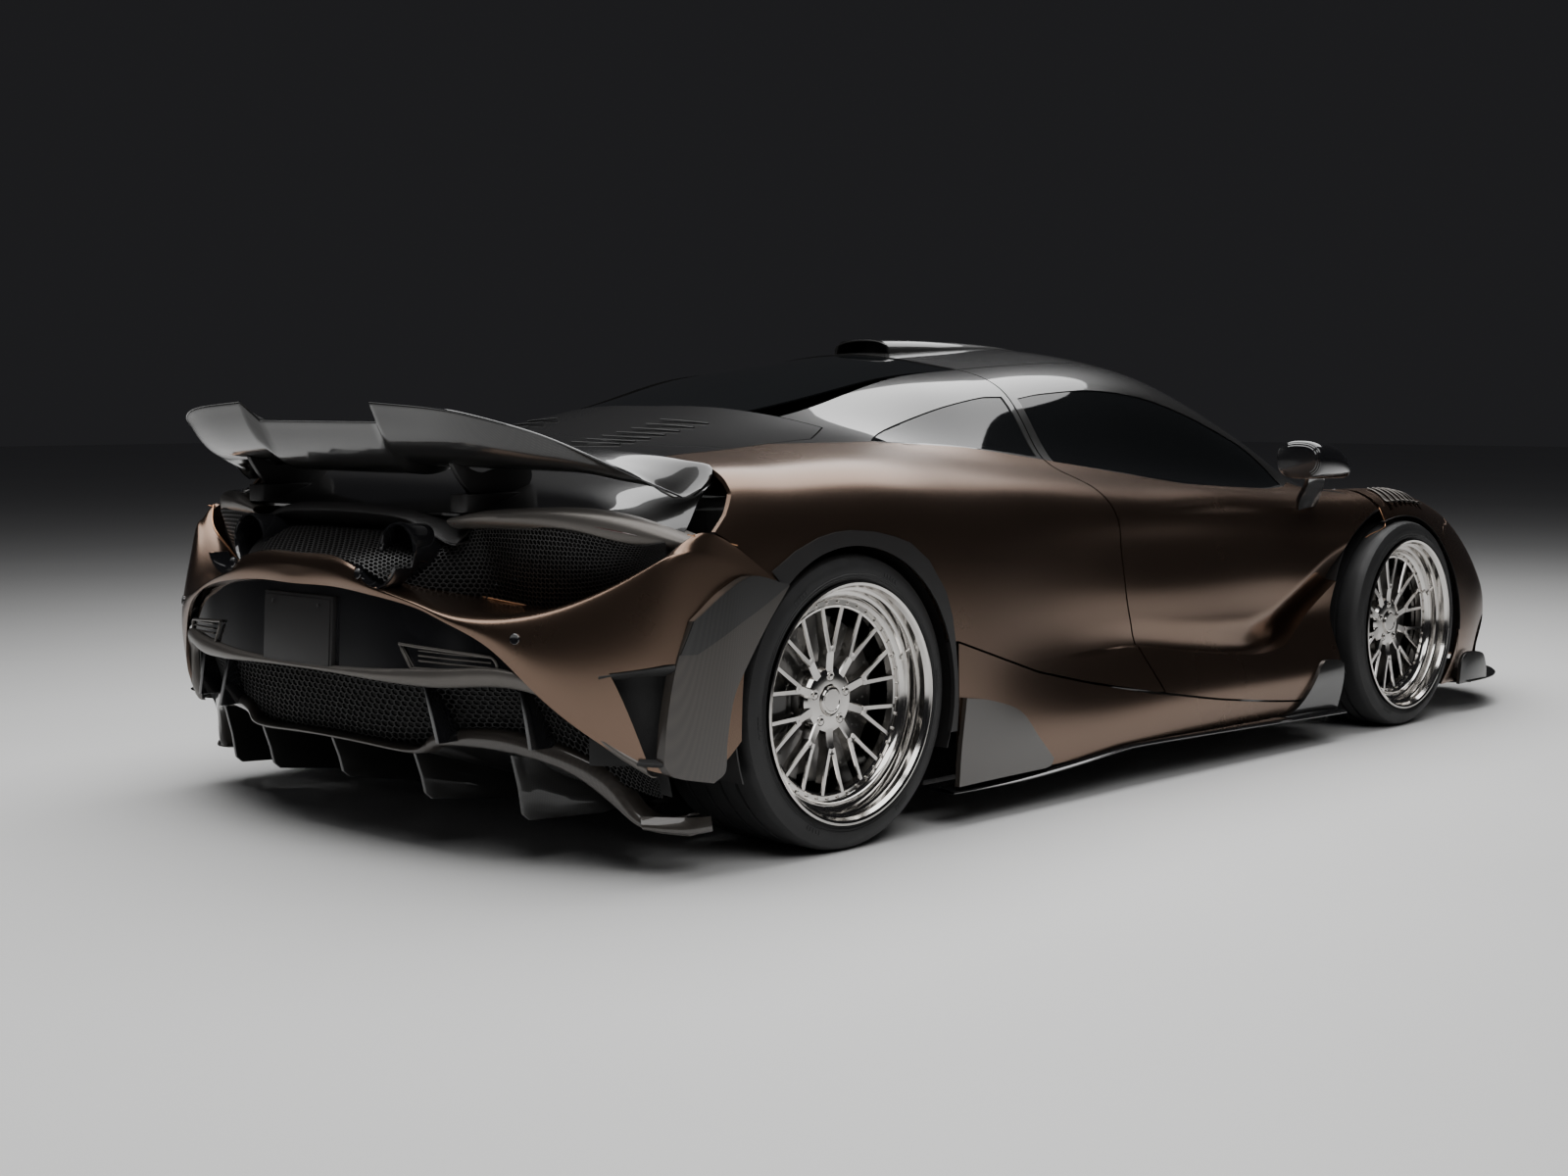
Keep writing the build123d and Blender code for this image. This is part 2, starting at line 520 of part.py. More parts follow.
pipe_clear = Part()
with BuildPart(Plane.YZ.offset(sx(-800))) as pipes:
    with Locations((-pipe_y, pipe_z), (pipe_y, pipe_z)):
        Cylinder(pipe_diameter / 2, muffler_x - sx(-800), align=(Align.CENTER, Align.CENTER, Align.MIN))
        Cylinder(pipe_diameter / 2 - pipe_wall, muffler_x - sx(-800), align=(Align.CENTER, Align.CENTER, Align.MIN), mode=Mode.SUBTRACT)
with BuildPart(Plane.YZ.offset(sx(-800))) as pipe_space:
    with Locations((-pipe_y, pipe_z), (pipe_y, pipe_z)):
        Cylinder(pipe_diameter / 2 + seat_gap, muffler_x - sx(-800), align=(Align.CENTER, Align.CENTER, Align.MIN))
muffler = block(-560, -400, -430, 430, 600, 790)
keep(pipes.part + muffler, "exhaust")

grille = tail_slice(50, 62) & panel_inner & block(-900, -300, -900, 900, 560, 900)
grille = grille - pipe_space.part - rear_bumper_body
keep(grille, "rear_grille")
LAMP_OUTLINE = [(420, 742), (700, 752), (850, 700), (850, 724), (700, 780), (420, 768)]
lamps = tail_slice(10, 50) & panel_inner & both_sides(rear_prism(LAMP_OUTLINE, -900, -300))
keep(lamps, "tail_lights")

# ------------------------------------------------------------------ wing, pylons, roof scoop
WING_SECTIONS = {
    245: (-500, 982, -827, 1034, 22), 500: (-490, 975, -800, 1014, 20), 630: (-470, 950, -742, 980, 18),
    702: (-440, 915, -662, 940, 16), 745: (-410, 880, -560, 885, 14), 790: (-380, 858, -480, 856, 12), 834: (-330, 862, -425, 840, 10),
}


def wing_section(lead_t, lead_z, trail_t, trail_z, thickness):
    lead, trail = Vector(sx(lead_t), sz(lead_z)), Vector(sx(trail_t), sz(trail_z))
    up = Vector(0, 1) * thickness
    third = lead + (trail - lead) * 0.3
    return lead, third + up * 0.5, trail + up * 0.1, trail - up * 0.1, third - up * 0.6


with BuildPart() as wing_half:
    for w, numbers in WING_SECTIONS.items():
        with BuildSketch(Plane.XZ.offset(sy(w))):
            with BuildLine():
                Polyline(*wing_section(*numbers), close=True)
            make_face()
    loft(ruled=True)
with BuildPart() as wing_middle:
    with BuildSketch(Plane.XZ.offset(-sy(245))):
        with BuildLine():
            Polyline(*wing_section(-500, 982, -790, 994, 22), close=True)
        make_face()
    extrude(amount=sy(490))
wing = both_sides(wing_half.part) + wing_middle.part
pylon = side_prism([(-690, 830), (-660, 1000), (-560, 995), (-480, 850)], 392, 404)
keep((wing + both_sides(pylon)) - outer_skin, "rear_wing")

SCOOP_SECTIONS = {1120: (95, 1216, 1150), 1500: (80, 1212, 1150), 1760: (60, 1198, 1150), 1900: (40, 1182, 1150)}
with BuildPart() as scoop_body:
    for station, (w, top, base) in SCOOP_SECTIONS.items():
        with BuildSketch(Plane.YZ.offset(sx(station))):
            with BuildLine():
                Polyline((-sy(w) - 20, sz(base)), (sy(w) + 20, sz(base)))
                Spline((sy(w) + 20, sz(base)), (sy(w) * 0.8, sz(top) - 8), (0, sz(top)), (-sy(w) * 0.8, sz(top) - 8), (-sy(w) - 20, sz(base)))
            make_face()
    loft()
with BuildPart() as scoop_mouth:
    for station, (w, top, base) in list(SCOOP_SECTIONS.items())[:2]:
        with BuildSketch(Plane.YZ.offset(sx(station))):
            with BuildLine():
                Polyline((-sy(w) - 6, sz(base)), (sy(w) + 6, sz(base)))
                Spline((sy(w) + 6, sz(base)), (sy(w) * 0.75, sz(top) - 15), (0, sz(top) - 8), (-sy(w) * 0.75, sz(top) - 15), (-sy(w) - 6, sz(base)))
            make_face()
    loft()
keep((scoop_body.part - scoop_mouth.part) - outer_skin, "roof_scoop")

# ------------------------------------------------------------------ headlamps and mirrors
HEADLAMP_OUTLINE = [(3180, 770), (3250, 700), (3400, 655), (3420, 690), (3330, 760), (3230, 815)]
headlamp_zone = both_sides(top_prism(HEADLAMP_OUTLINE, 380))
keep(parts["front_bumper"] - headlamp_zone, "front_bumper")
keep((outer_skin - skin_solid(BODY_SECTIONS, 16)) & headlamp_zone & front_bumper_cut, "headlamps")

MIRROR_PLAN = [(1890, 950), (1900, 1072), (1960, 1080), (2080, 1050), (2110, 990), (2040, 945)]
mirror_head = top_prism(MIRROR_PLAN, sz(822), sz(924))
with BuildPart() as mirror_foot:
    with BuildSketch(Plane.XY.offset(sz(690))):
        with Locations((sx(2180), -sy(872))):
            Rectangle(110, 60)
    with BuildSketch(Plane.XY.offset(sz(835))):
        with Locations((sx(2030), -sy(975))):
            Rectangle(90, 30)
    loft()
door_mirror = (mirror_head + mirror_foot.part) - outer_skin
keep(door_mirror, "door_mirror_right")
keep(mirror(door_mirror, about=Plane.XZ), "door_mirror_left")

# ------------------------------------------------------------------ cabin
SEAT_SIDE = [
    (1790, 285), (1800, 330), (1770, 350), (1400, 300), (1190, 640), (1130, 800), (1070, 860), (1030, 850),
    (1040, 780), (1230, 360), (1260, 230), (1300, 140), (1700, 140)
]
seat_inner_y, seat_outer_y = 110, 560
seat_shape = side_prism(SEAT_SIDE, seat_inner_y, seat_outer_y) & cabin_room
keep(both_sides(seat_shape), "seats")
DASH_SIDE = [(2300, 500), (2300, 740), (2180, 730), (2040, 690), (2020, 640), (2060, 560), (2200, 500)]
dashboard = side_prism(DASH_SIDE, 0, 640) & cabin_room
console = block(1300, 2200, 0, 95, 150, 420) & cabin_room
dashboard = both_sides(dashboard) + (both_sides(console) - both_sides(seat_shape))

wheel_centre = Vector(sx(1900), sy(335), 640)
column_tilt = 22
column_plane = Plane(origin=wheel_centre, x_dir=(0, 1, 0), z_dir=(-math.cos(math.radians(column_tilt)), 0, math.sin(math.radians(column_tilt))))
with BuildPart(column_plane) as steering_wheel:
    Torus(175, 14)
    Cylinder(46, 30)
    with PolarLocations(100, 3, start_angle=-90):
        Box(125, 34, 12)
    with Locations((0, 0, -15)):
        Cylinder(18, 40, align=(Align.CENTER, Align.CENTER, Align.MAX))
keep(steering_wheel.part, "steering_wheel")
with BuildPart(column_plane) as column:
    with Locations((0, 0, -30)):
        Cylinder(34, 220, align=(Align.CENTER, Align.CENTER, Align.MAX))
        Cylinder(18 + bearing_clearance, 30, align=(Align.CENTER, Align.CENTER, Align.MAX), mode=Mode.SUBTRACT)
keep(dashboard + column.part, "dashboard")

# ------------------------------------------------------------------ chassis behind and ahead of the tub, engine
rail_inner_y, rail_outer_y = 410, 470
front_rails = block(tub_end + seat_gap, 3130, rail_inner_y, rail_outer_y, 170, 490)
front_beam = block(3130, 3190, -rail_outer_y, rail_outer_y, 220, 400)
rear_rails = block(-420, tub_start - seat_gap, rail_inner_y, rail_outer_y, 170, 520)
rear_beam = block(-480, -420, -rail_outer_y, rail_outer_y, 300, 520)
keep(both_sides(front_rails) + front_beam + both_sides(rear_rails) + rear_beam, "subframes")
engine = block(150, 760, -330, 330, 150, 760) + block(-350, 150, -200, 200, 170, 560)
engine = engine + block(300, 420, -rail_inner_y + seat_gap, rail_inner_y - seat_gap, 300, 400)
keep(engine, "engine")
bin_outer = block(tub_end + seat_gap, 3120, -rail_inner_y + seat_gap, rail_inner_y - seat_gap, 240, 600)
front_bin = bin_outer - block(tub_end + 8, 3112, -rail_inner_y + 8, rail_inner_y - 8, 248, 700)
keep(front_bin & skin_solid(BODY_SECTIONS, 40), "luggage_bin")

# ------------------------------------------------------------------ arch liners
front_liner = (front_well_outer - front_well) & panel_inner & block(2200, 3130, 636, 1100, 200, 900)
rear_liner = (rear_well_outer - rear_well) & panel_inner & block(-420, 400, 600, 1100, 200, 900)
keep(both_sides(front_liner) + both_sides(rear_liner), "wheel_liners")

# ------------------------------------------------------------------ wheels
spoke_front_offset = 60  # from the tyre's outer face to the spokes' face
spoke_depth = 34
barrel_wall = 10


def make_tyre(diameter, width, rim_diameter):
    """A tyre around the origin, its axis along Y."""
    radius, half, seat = diameter / 2, width / 2, rim_diameter / 2 - 12
    with BuildPart() as tyre:
        with BuildSketch(Plane.XY):
            with BuildLine():
                Line((seat, half - 24), (seat, -half + 24))
                Spline((seat, -half + 24), (seat + 14, -half + 3), (radius - 34, -half + 1), (radius - 9, -half + 12), (radius, -half + 32))
                Line((radius, -half + 32), (radius, half - 32))
                Spline((radius, half - 32), (radius - 9, half - 12), (radius - 34, half - 1), (seat + 14, half - 3), (seat, half - 24))
            make_face()
        revolve(axis=Axis.Y)
    return tyre.part


def make_rim(width, rim_diameter):
    """A wheel rim around the origin, its outer face towards -Y."""
    half, lip, well = width / 2, rim_diameter / 2 - 12 - seat_gap, rim_diameter / 2 - 44
    spoke_back = -half + spoke_front_offset + spoke_depth
    with BuildPart() as rim:
        with BuildSketch(Plane.XY):
            with BuildLine():
                Polyline(
                    (lip, half - 24), (lip, half - 50), (well, half - 70), (well, spoke_back + 6), (lip, spoke_back - 14), (lip, -half + 24),
                    (lip - barrel_wall, -half + 24), (lip - 16, spoke_back - 20), (well - barrel_wall, spoke_back + 2),
                    (well - barrel_wall, half - 72), (lip - barrel_wall, half - 52), (lip - barrel_wall, half - 24), close=True,
                )
            make_face()
        revolve(axis=Axis.Y)
        reach = lip - 18
        with BuildSketch(Plane.XZ.offset(-spoke_back)):
            Circle(82)
            with PolarLocations(0, spoke_count):
                Polygon((60, 15), (150, 13), (reach, 42), (reach, 22), (185, 0), (reach, -22), (reach, -42), (150, -13), (60, -15), align=None)
            with PolarLocations(bolt_circle / 2, 5):
                Circle(lug_hole_diameter / 2, mode=Mode.SUBTRACT)
        extrude(amount=spoke_depth)
    return rim.part


def make_disc(width):
    """A brake disc with its bell, hub and stub axle, placed behind the rim's spokes."""
    back = -width / 2 + spoke_front_offset + spoke_depth + seat_gap
    with BuildPart() as disc:
        with BuildSketch(Plane.XY):
            with BuildLine():
                Polyline(
                    (0, back), (76, back), (84, back + 12), (84, back + 22), (disc_diameter / 2, back + 22), (disc_diameter / 2, back + 22 + disc_thickness),
                    (76, back + 22 + disc_thickness), (70, back + 14), (axle_diameter / 2, back + 14), (axle_diameter / 2, back + 130), (0, back + 130), close=True,
                )
            make_face()
        revolve(axis=Axis.Y)
    return disc.part


caliper_gap = 5


def make_knuckle(width):
    """Knuckle with its axle bore, two ball-joint posts on the steering axis, and the caliper's lugs."""
    back = -width / 2 + spoke_front_offset + spoke_depth + seat_gap
    face = back + 22 + disc_thickness + 8
    with BuildPart() as knuckle:
        with BuildSketch(Plane.XZ.offset(-(face + 40))):
            Circle(58)
            Rectangle(56, 190)
            with Locations((-70, 0)):
                Rectangle(140, 60)
            Circle(axle_diameter / 2 + bearing_clearance, mode=Mode.SUBTRACT)
        extrude(amount=40)
        for side in (1, -1):
            with BuildSketch(Plane.XY.offset(side * 80)):
                with Locations((0, kingpin_inset)):
                    Circle(20)
                with Locations((0, (face + 40 + kingpin_inset) / 2)):
                    Rectangle(40, kingpin_inset - face - 20)
            extrude(amount=side * 30)
            with BuildSketch(Plane.XY.offset(side * 110)):
                with Locations((0, kingpin_inset)):
                    Circle(11)
            extrude(amount=side * 34)
    return knuckle.part, face



def make_caliper(width, rim_diameter):
    """A brake caliper behind the axle, around the disc's edge."""
    back = -width / 2 + spoke_front_offset + spoke_depth + seat_gap
    face = back + 22 + disc_thickness + 8
    front = back + 22 - 3 - 14
    barrel = rim_diameter / 2 - 44 - barrel_wall - 6
    with BuildPart() as caliper:
        with BuildSketch(Plane.XZ.offset(-(face - seat_gap))):
            Circle(barrel)
            with Locations((-170, 0)):
                Rectangle(100, 150, mode=Mode.INTERSECT)
        extrude(amount=face - seat_gap - front)
        with BuildSketch(Plane.XZ.offset(-(back + 22 + disc_thickness + 3))):
            Circle(disc_diameter / 2 + 4)
        extrude(amount=disc_thickness + 6, mode=Mode.SUBTRACT)
    return caliper.part


def make_wishbone(y_outer, z):
    """A wishbone between a ball-joint post and the chassis rail, at a height from the axle."""
    with BuildPart() as arm:
        with BuildSketch(Plane.XY.offset(z - 15)):
            Polygon(
                (-22, -y_outer), (-170, -rail_outer_y - seat_gap), (-130, -rail_outer_y - seat_gap), (0, -y_outer + 50),
                (130, -rail_outer_y - seat_gap), (170, -rail_outer_y - seat_gap), (22, -y_outer), align=None,
            )
            with Locations((0, -y_outer)):
                Circle(24)
                Circle(11 + bearing_clearance, mode=Mode.SUBTRACT)
        extrude(amount=30)
    return arm.part


axles = {
    "front": (front_axle_x, front_wheel_y, front_axle_z, tyre_front_diameter, tyre_front_width, rim_front_diameter),
    "rear": (rear_axle_x, rear_wheel_y, rear_axle_z, tyre_rear_diameter, tyre_rear_width, rim_rear_diameter),
}
arms_all = Part()
for end, (x, y, z, diameter, width, rim_diameter) in axles.items():
    place = Pos(x, -y, z)
    corner = {
        "tyre": place * make_tyre(diameter, width, rim_diameter),
        "rim": place * make_rim(width, rim_diameter),
        "brake_disc": place * make_disc(width),
    }
    knuckle, face = make_knuckle(width)
    caliper = make_caliper(width, rim_diameter)
    for piece, shape in corner.items():
        keep(shape, f"{piece}_{end}_right")
        keep(mirror(shape, about=Plane.XZ), f"{piece}_{end}_left")
    if end == "front":
        keep(place * knuckle, "knuckle_front_right")
        keep(mirror(place * knuckle, about=Plane.XZ), "knuckle_front_left")
        keep(place * caliper, "caliper_front_right")
        keep(mirror(place * caliper, about=Plane.XZ), "caliper_front_left")
    else:
        rear_knuckle = place * knuckle
        keep(both_sides(place * caliper), "rear_calipers")
    for side in (-1, 1):
        arms_all += Pos(x, 0, z) * make_wishbone(y - kingpin_inset, side * 127)
keep(both_sides(arms_all) + both_sides(rear_knuckle), "suspension")

# ------------------------------------------------------------------ write the pieces
os.makedirs("parts", exist_ok=True)
for name, shape in parts.items():
    shape.label = name
    export_step(shape, f"parts/{name}.step", write_pcurves=False)
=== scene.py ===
"""A mid-engined supercar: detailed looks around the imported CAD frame. Metres, x forward, z up."""
import json
import math
from contextlib import contextmanager

import bmesh
import bpy
import numpy as np
from mathutils import Matrix, Vector

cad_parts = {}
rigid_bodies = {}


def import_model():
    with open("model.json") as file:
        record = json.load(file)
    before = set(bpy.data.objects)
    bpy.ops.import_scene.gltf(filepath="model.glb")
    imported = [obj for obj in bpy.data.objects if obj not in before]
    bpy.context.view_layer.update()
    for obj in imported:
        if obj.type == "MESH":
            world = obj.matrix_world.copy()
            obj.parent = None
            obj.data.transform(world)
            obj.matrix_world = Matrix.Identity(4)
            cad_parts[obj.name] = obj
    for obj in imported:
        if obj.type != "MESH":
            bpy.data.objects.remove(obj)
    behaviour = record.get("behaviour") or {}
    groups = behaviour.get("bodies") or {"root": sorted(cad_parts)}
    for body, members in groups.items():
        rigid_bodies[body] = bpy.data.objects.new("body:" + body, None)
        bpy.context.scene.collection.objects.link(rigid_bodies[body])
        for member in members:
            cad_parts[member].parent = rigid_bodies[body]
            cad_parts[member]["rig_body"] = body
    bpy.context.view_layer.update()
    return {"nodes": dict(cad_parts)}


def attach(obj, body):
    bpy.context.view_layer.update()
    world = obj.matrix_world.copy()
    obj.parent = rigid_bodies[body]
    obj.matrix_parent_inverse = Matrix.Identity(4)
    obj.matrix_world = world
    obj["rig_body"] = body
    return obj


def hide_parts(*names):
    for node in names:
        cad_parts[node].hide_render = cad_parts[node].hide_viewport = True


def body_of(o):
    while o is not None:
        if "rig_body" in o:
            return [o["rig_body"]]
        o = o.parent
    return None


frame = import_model()
nodes = frame["nodes"]
REAR_AXLE = -1.410  # x of the rear axle; stations below are distances ahead of it
WHEELBASE = 2.670


# ------------------------------------------------------------------ materials
def fill(tree, node, **sockets):
    """Sets each named socket to a value, or links it to another node's output."""
    for key, value in sockets.items():
        socket = node.inputs[key.replace("_", " ")]
        if isinstance(value, bpy.types.NodeSocket):
            tree.links.new(value, socket)
        else:
            socket.default_value = value


def add_node(tree, kind, settings=None, **sockets):
    node = tree.nodes.new("ShaderNode" + kind)
    for key, value in (settings or {}).items():
        setattr(node, key, value)
    fill(tree, node, **sockets)
    return node


def new_material(name):
    """A material with its node tree, its shader and the object coordinates."""
    m = bpy.data.materials.new(name)
    m.use_nodes = True
    tree = m.node_tree
    where = add_node(tree, "TexCoord").outputs["Object"]
    return m, tree, tree.nodes["Principled BSDF"], where


def add_bump(tree, shader, height, strength, distance):
    relief = add_node(tree, "Bump", Strength=strength, Distance=distance, Height=height)
    fill(tree, shader, Normal=relief.outputs["Normal"])


def node_material(
    name, base, metallic=0.0, roughness=0.5, vary=0.0, vary_scale=8.0, bump=0.0, bump_scale=200.0, **sockets
):
    """A principled material whose colour and roughness drift with noise, with a fine bump."""
    m, tree, shader, where = new_material(name)
    noise = add_node(tree, "TexNoise", Vector=where, Scale=vary_scale, Detail=6).outputs["Fac"]
    dark = (*[c * (1 - vary) for c in base], 1)
    light = (*[min(c * (1 + vary), 1) for c in base], 1)
    mix = add_node(tree, "Mix", {"data_type": "RGBA"}, A=dark, B=light, Factor=noise)
    spread = add_node(tree, "MapRange", Value=noise,
                      To_Min=max(roughness * (1 - vary), 0.01), To_Max=min(roughness * (1 + vary), 1))
    fill(
        tree, shader, Metallic=metallic, Base_Color=mix.outputs["Result"], Roughness=spread.outputs["Result"],
        **sockets
    )
    if bump:
        grain = add_node(tree, "TexNoise", Vector=where, Scale=bump_scale, Detail=4)
        add_bump(tree, shader, grain.outputs["Fac"], bump, 0.001)
    return m


def carbon_material(name, light, dark, roughness, scale):
    """Clear-coated twill weave: bundles of fibre that pass over and under one another."""
    m, tree, shader, where = new_material(name)
    fill(tree, shader, Metallic=0.35, Roughness=roughness, Coat_Weight=1.0, Coat_Roughness=0.03)
    turn = add_node(tree, "Mapping", Vector=where, Rotation=[math.radians(a) for a in (35, 35, 45)])
    weave = add_node(tree, "Math", {"operation": "MULTIPLY"})
    for i, axis in enumerate("XY"):
        settings = {"wave_type": "BANDS", "bands_direction": axis, "wave_profile": "TRI"}
        wave = add_node(tree, "TexWave", settings, Vector=turn.outputs["Vector"], Scale=scale, Distortion=0.0)
        tree.links.new(wave.outputs["Fac"], weave.inputs[i])
    height = weave.outputs["Value"]
    ramp = add_node(tree, "ValToRGB", Fac=height)
    for element, colour, position in zip(ramp.color_ramp.elements, (dark, light), (0.1, 0.75)):
        element.color = (*colour, 1)
        element.position = position
    fill(tree, shader, Base_Color=ramp.outputs["Color"])
    add_bump(tree, shader, height, 0.04, 0.0006)
    return m


def paint_material(name, base, flake, roughness):
    """Satin metallic paint: a drift of tone, fine flakes and a soft clear coat."""
    m = node_material(name, base, 0.97, roughness, 0.05, 3.0, Coat_Weight=0.12, Coat_Roughness=0.2)
    tree = m.node_tree
    where = tree.nodes["Texture Coordinate"].outputs["Object"]
    flakes = add_node(tree, "TexVoronoi", Vector=where, Scale=1400)
    pick = add_node(
        tree, "MapRange", Value=flakes.outputs["Distance"], From_Min=0.25, From_Max=0.0, To_Max=0.5
    )
    tint = add_node(tree, "Mix", {"data_type": "RGBA"}, A=tree.nodes["Mix"].outputs["Result"], B=(*flake, 1),
                    Factor=pick.outputs["Result"])
    fill(tree, tree.nodes["Principled BSDF"], Base_Color=tint.outputs["Result"])
    return m


def brushed_material(name, base, roughness, stretch):
    """Brushed metal: noise drawn out along one direction drives a faint bump."""
    m = node_material(name, base, 1.0, roughness, 0.08, 30.0)
    tree = m.node_tree
    where = tree.nodes["Texture Coordinate"].outputs["Object"]
    pull = add_node(tree, "Mapping", Vector=where, Scale=stretch)
    lines = add_node(tree, "TexNoise", Vector=pull.outputs["Vector"], Scale=60)
    add_bump(tree, tree.nodes["Principled BSDF"], lines.outputs["Fac"], 0.08, 0.0005)
    return m


BRONZE = (0.185, 0.125, 0.092)
MAT = {
    "paint": paint_material("satin_bronze_paint", BRONZE, (0.34, 0.235, 0.175), 0.27),
    # The copper edge colour is a painted highlight: light caught by rounded panel edges, not a copper trim.
    "edge": node_material("copper_edge", (0.62, 0.33, 0.18), 0.8, 0.3, 0.1, 12.0),
    "carbon": carbon_material("gloss_carbon", (0.027, 0.026, 0.025), (0.014, 0.0138, 0.0135), 0.3, 75.0),
    "carbon_satin": carbon_material(
        "smoked_carbon", (0.066, 0.056, 0.048), (0.044, 0.038, 0.033), 0.38, 90.0
    ),
    "gloss_black": node_material(
        "gloss_black", (0.008, 0.008, 0.009), 0.0, 0.12, 0.15, 6.0, Coat_Weight=1.0, Coat_Roughness=0.04
    ),
    "satin_black": node_material("satin_black", (0.018, 0.017, 0.017), 0.1, 0.42, 0.12, 10.0, 0.15, 900.0),
    "satin_grey": node_material("satin_grey", (0.13, 0.12, 0.11), 0.6, 0.38, 0.08, 14.0, 0.08, 900.0),
    "matte_black": node_material("moulded_black", (0.012, 0.012, 0.012), 0.0, 0.7, 0.2, 20.0, 0.5, 600.0),
    "chrome": node_material("polished_rim", (0.62, 0.60, 0.575), 1.0, 0.12, 0.1, 9.0),
    "silver": brushed_material("brushed_silver", (0.29, 0.27, 0.24), 0.38, (1.0, 1.0, 14.0)),
    "steel": brushed_material("disc_steel", (0.20, 0.195, 0.19), 0.36, (6.0, 1.0, 6.0)),
    "iron": node_material("cast_iron", (0.06, 0.055, 0.052), 0.9, 0.6, 0.2, 30.0, 0.4, 300.0),
    "aluminium": node_material("cast_aluminium", (0.4, 0.4, 0.4), 1.0, 0.45, 0.15, 40.0, 0.3, 400.0),
    "caliper": node_material(
        "caliper_paint", (0.05, 0.048, 0.045), 0.5, 0.35, 0.1, 20.0, Coat_Weight=0.6, Coat_Roughness=0.1
    ),
    "rubber": node_material("tyre_rubber", (0.013, 0.013, 0.0135), 0.0, 0.55, 0.25, 18.0, 0.35, 700.0),
    "leather": node_material(
        "dark_leather", (0.022, 0.020, 0.019), 0.0, 0.5, 0.15, 25.0, 0.6, 450.0, Sheen_Weight=0.2
    ),
    "suede": node_material(
        "dark_suede", (0.03, 0.027, 0.025), 0.0, 0.9, 0.25, 60.0, 0.5, 900.0, Sheen_Weight=0.5
    ),
    "lamp": node_material("lamp_dark_red", (0.05, 0.004, 0.003), 0.0, 0.15, 0.1, 30.0, Coat_Weight=1.0),
    "lens": node_material(
        "clear_lens", (0.55, 0.57, 0.6), 0.0, 0.06, 0.05, 10.0, Transmission_Weight=0.7, IOR=1.45
    ),
    "tint": node_material(
        "tinted_glass", (0.012, 0.013, 0.014), 0.0, 0.035, 0.1, 3.0, Transmission_Weight=0.5, IOR=1.4
    ),
    "mirror": node_material("mirror_glass", (0.9, 0.9, 0.9), 1.0, 0.03, 0.05, 3.0)
}


# ------------------------------------------------------------------ mesh helpers
PANEL_FINISH = ("paint", "satin_black", "edge")  # outer face, inner face and cut edges, the cut edges in a painted highlight colour
DARK_FINISH = ("carbon", "satin_black", "gloss_black")
BOX_FACES = [(0, 1, 2, 3), (4, 5, 6, 7), (0, 1, 5, 4), (1, 2, 6, 5), (2, 3, 7, 6), (3, 0, 4, 7)]


def new_object(name, data):
    o = bpy.data.objects.new(name, data)
    bpy.context.scene.collection.objects.link(o)
    return o


@contextmanager
def editing(mesh):
    """The mesh as a bmesh, written back at the end of the block."""
    bm = bmesh.new()
    bm.from_mesh(mesh)
    yield bm
    bm.to_mesh(mesh)
    bm.free()


def ring_faces(rings, sides, closed=False, start=0):
    """Faces between rings of points; closed joins the last ring to the first."""
    faces = []
    for i in range(rings if closed else rings - 1):
        a, b = start + i * sides, start + (i + 1) % rings * sides
        faces += [(a + k, a + (k + 1) % sides, b + (k + 1) % sides, b + k) for k in range(sides)]
    return faces


def piece(name, verts, faces, materials, sharp=32.0, indices=None):
    """A mesh object, smooth except where faces meet at more than sharp degrees."""
    mesh = bpy.data.meshes.new(name)
    mesh.from_pydata([tuple(v) for v in verts], [], [tuple(f) for f in faces])
    o = new_object(name, mesh)
    for m in materials if isinstance(materials, (list, tuple)) else [materials]:
        mesh.materials.append(MAT[m])
    if indices is not None:
        mesh.polygons.foreach_set("material_index", indices)
    mesh.validate()
    soften(o, sharp)
    return o


def soften(o, sharp=32.0):
    """Shades o smooth and marks the edges whose faces turn by more than sharp degrees."""
    limit = math.radians(sharp)
    with editing(o.data) as bm:
        bmesh.ops.remove_doubles(bm, verts=bm.verts, dist=1e-6)
        for e in bm.edges:
            e.smooth = not (len(e.link_faces) == 2 and e.calc_face_angle(0) > limit)
        for f in bm.faces:
            f.smooth = True


def place(o, body, slot, *replaced):
    """Rides a piece on its body, hiding the CAD nodes that it stands in for; its slot is not used."""
    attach(o, body)
    if replaced:
        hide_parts(*replaced)
    return o


def cubic(x, y, at):
    """The natural cubic spline through (x, y), read at the places given. y may have several columns."""
    x, y, at = np.asarray(x, float), np.asarray(y, float), np.asarray(at, float)
    flat = y.reshape(len(x), -1)
    h = np.diff(x)
    n = len(x)
    a = np.zeros((n, n))
    b = np.zeros((n, flat.shape[1]))
    a[0, 0] = a[-1, -1] = 1
    for i in range(1, n - 1):
        a[i, i - 1 : i + 2] = h[i - 1], 2 * (h[i - 1] + h[i]), h[i]
        b[i] = 6 * ((flat[i + 1] - flat[i]) / h[i] - (flat[i] - flat[i - 1]) / h[i - 1])
    c = np.linalg.solve(a, b)
    k = np.clip(np.searchsorted(x, at) - 1, 0, n - 2)
    p, q, w = (at - x[k])[:, None], (x[k + 1] - at)[:, None], h[k][:, None]
    out = (c[k] * q**3 + c[k + 1] * p**3) / (6 * w)
    out += (flat[k] / w - c[k] * w / 6) * q + (flat[k + 1] / w - c[k + 1] * w / 6) * p
    return out.reshape((len(at),) + y.shape[1:])


def patch_points(rows, across, along):
    """A smooth grid through rows of points."""
    rows = np.asarray(rows, float)
    wide = cubic(np.arange(rows.shape[1]), rows.transpose(1, 0, 2), np.linspace(0, rows.shape[1] - 1, across))
    return cubic(np.arange(rows.shape[0]), wide.transpose(1, 0, 2), np.linspace(0, rows.shape[0] - 1, along))


def smooth_line(points, n):
    """n points along the natural cubic through the points given."""
    return cubic(range(len(points)), points, np.linspace(0, len(points) - 1, n))


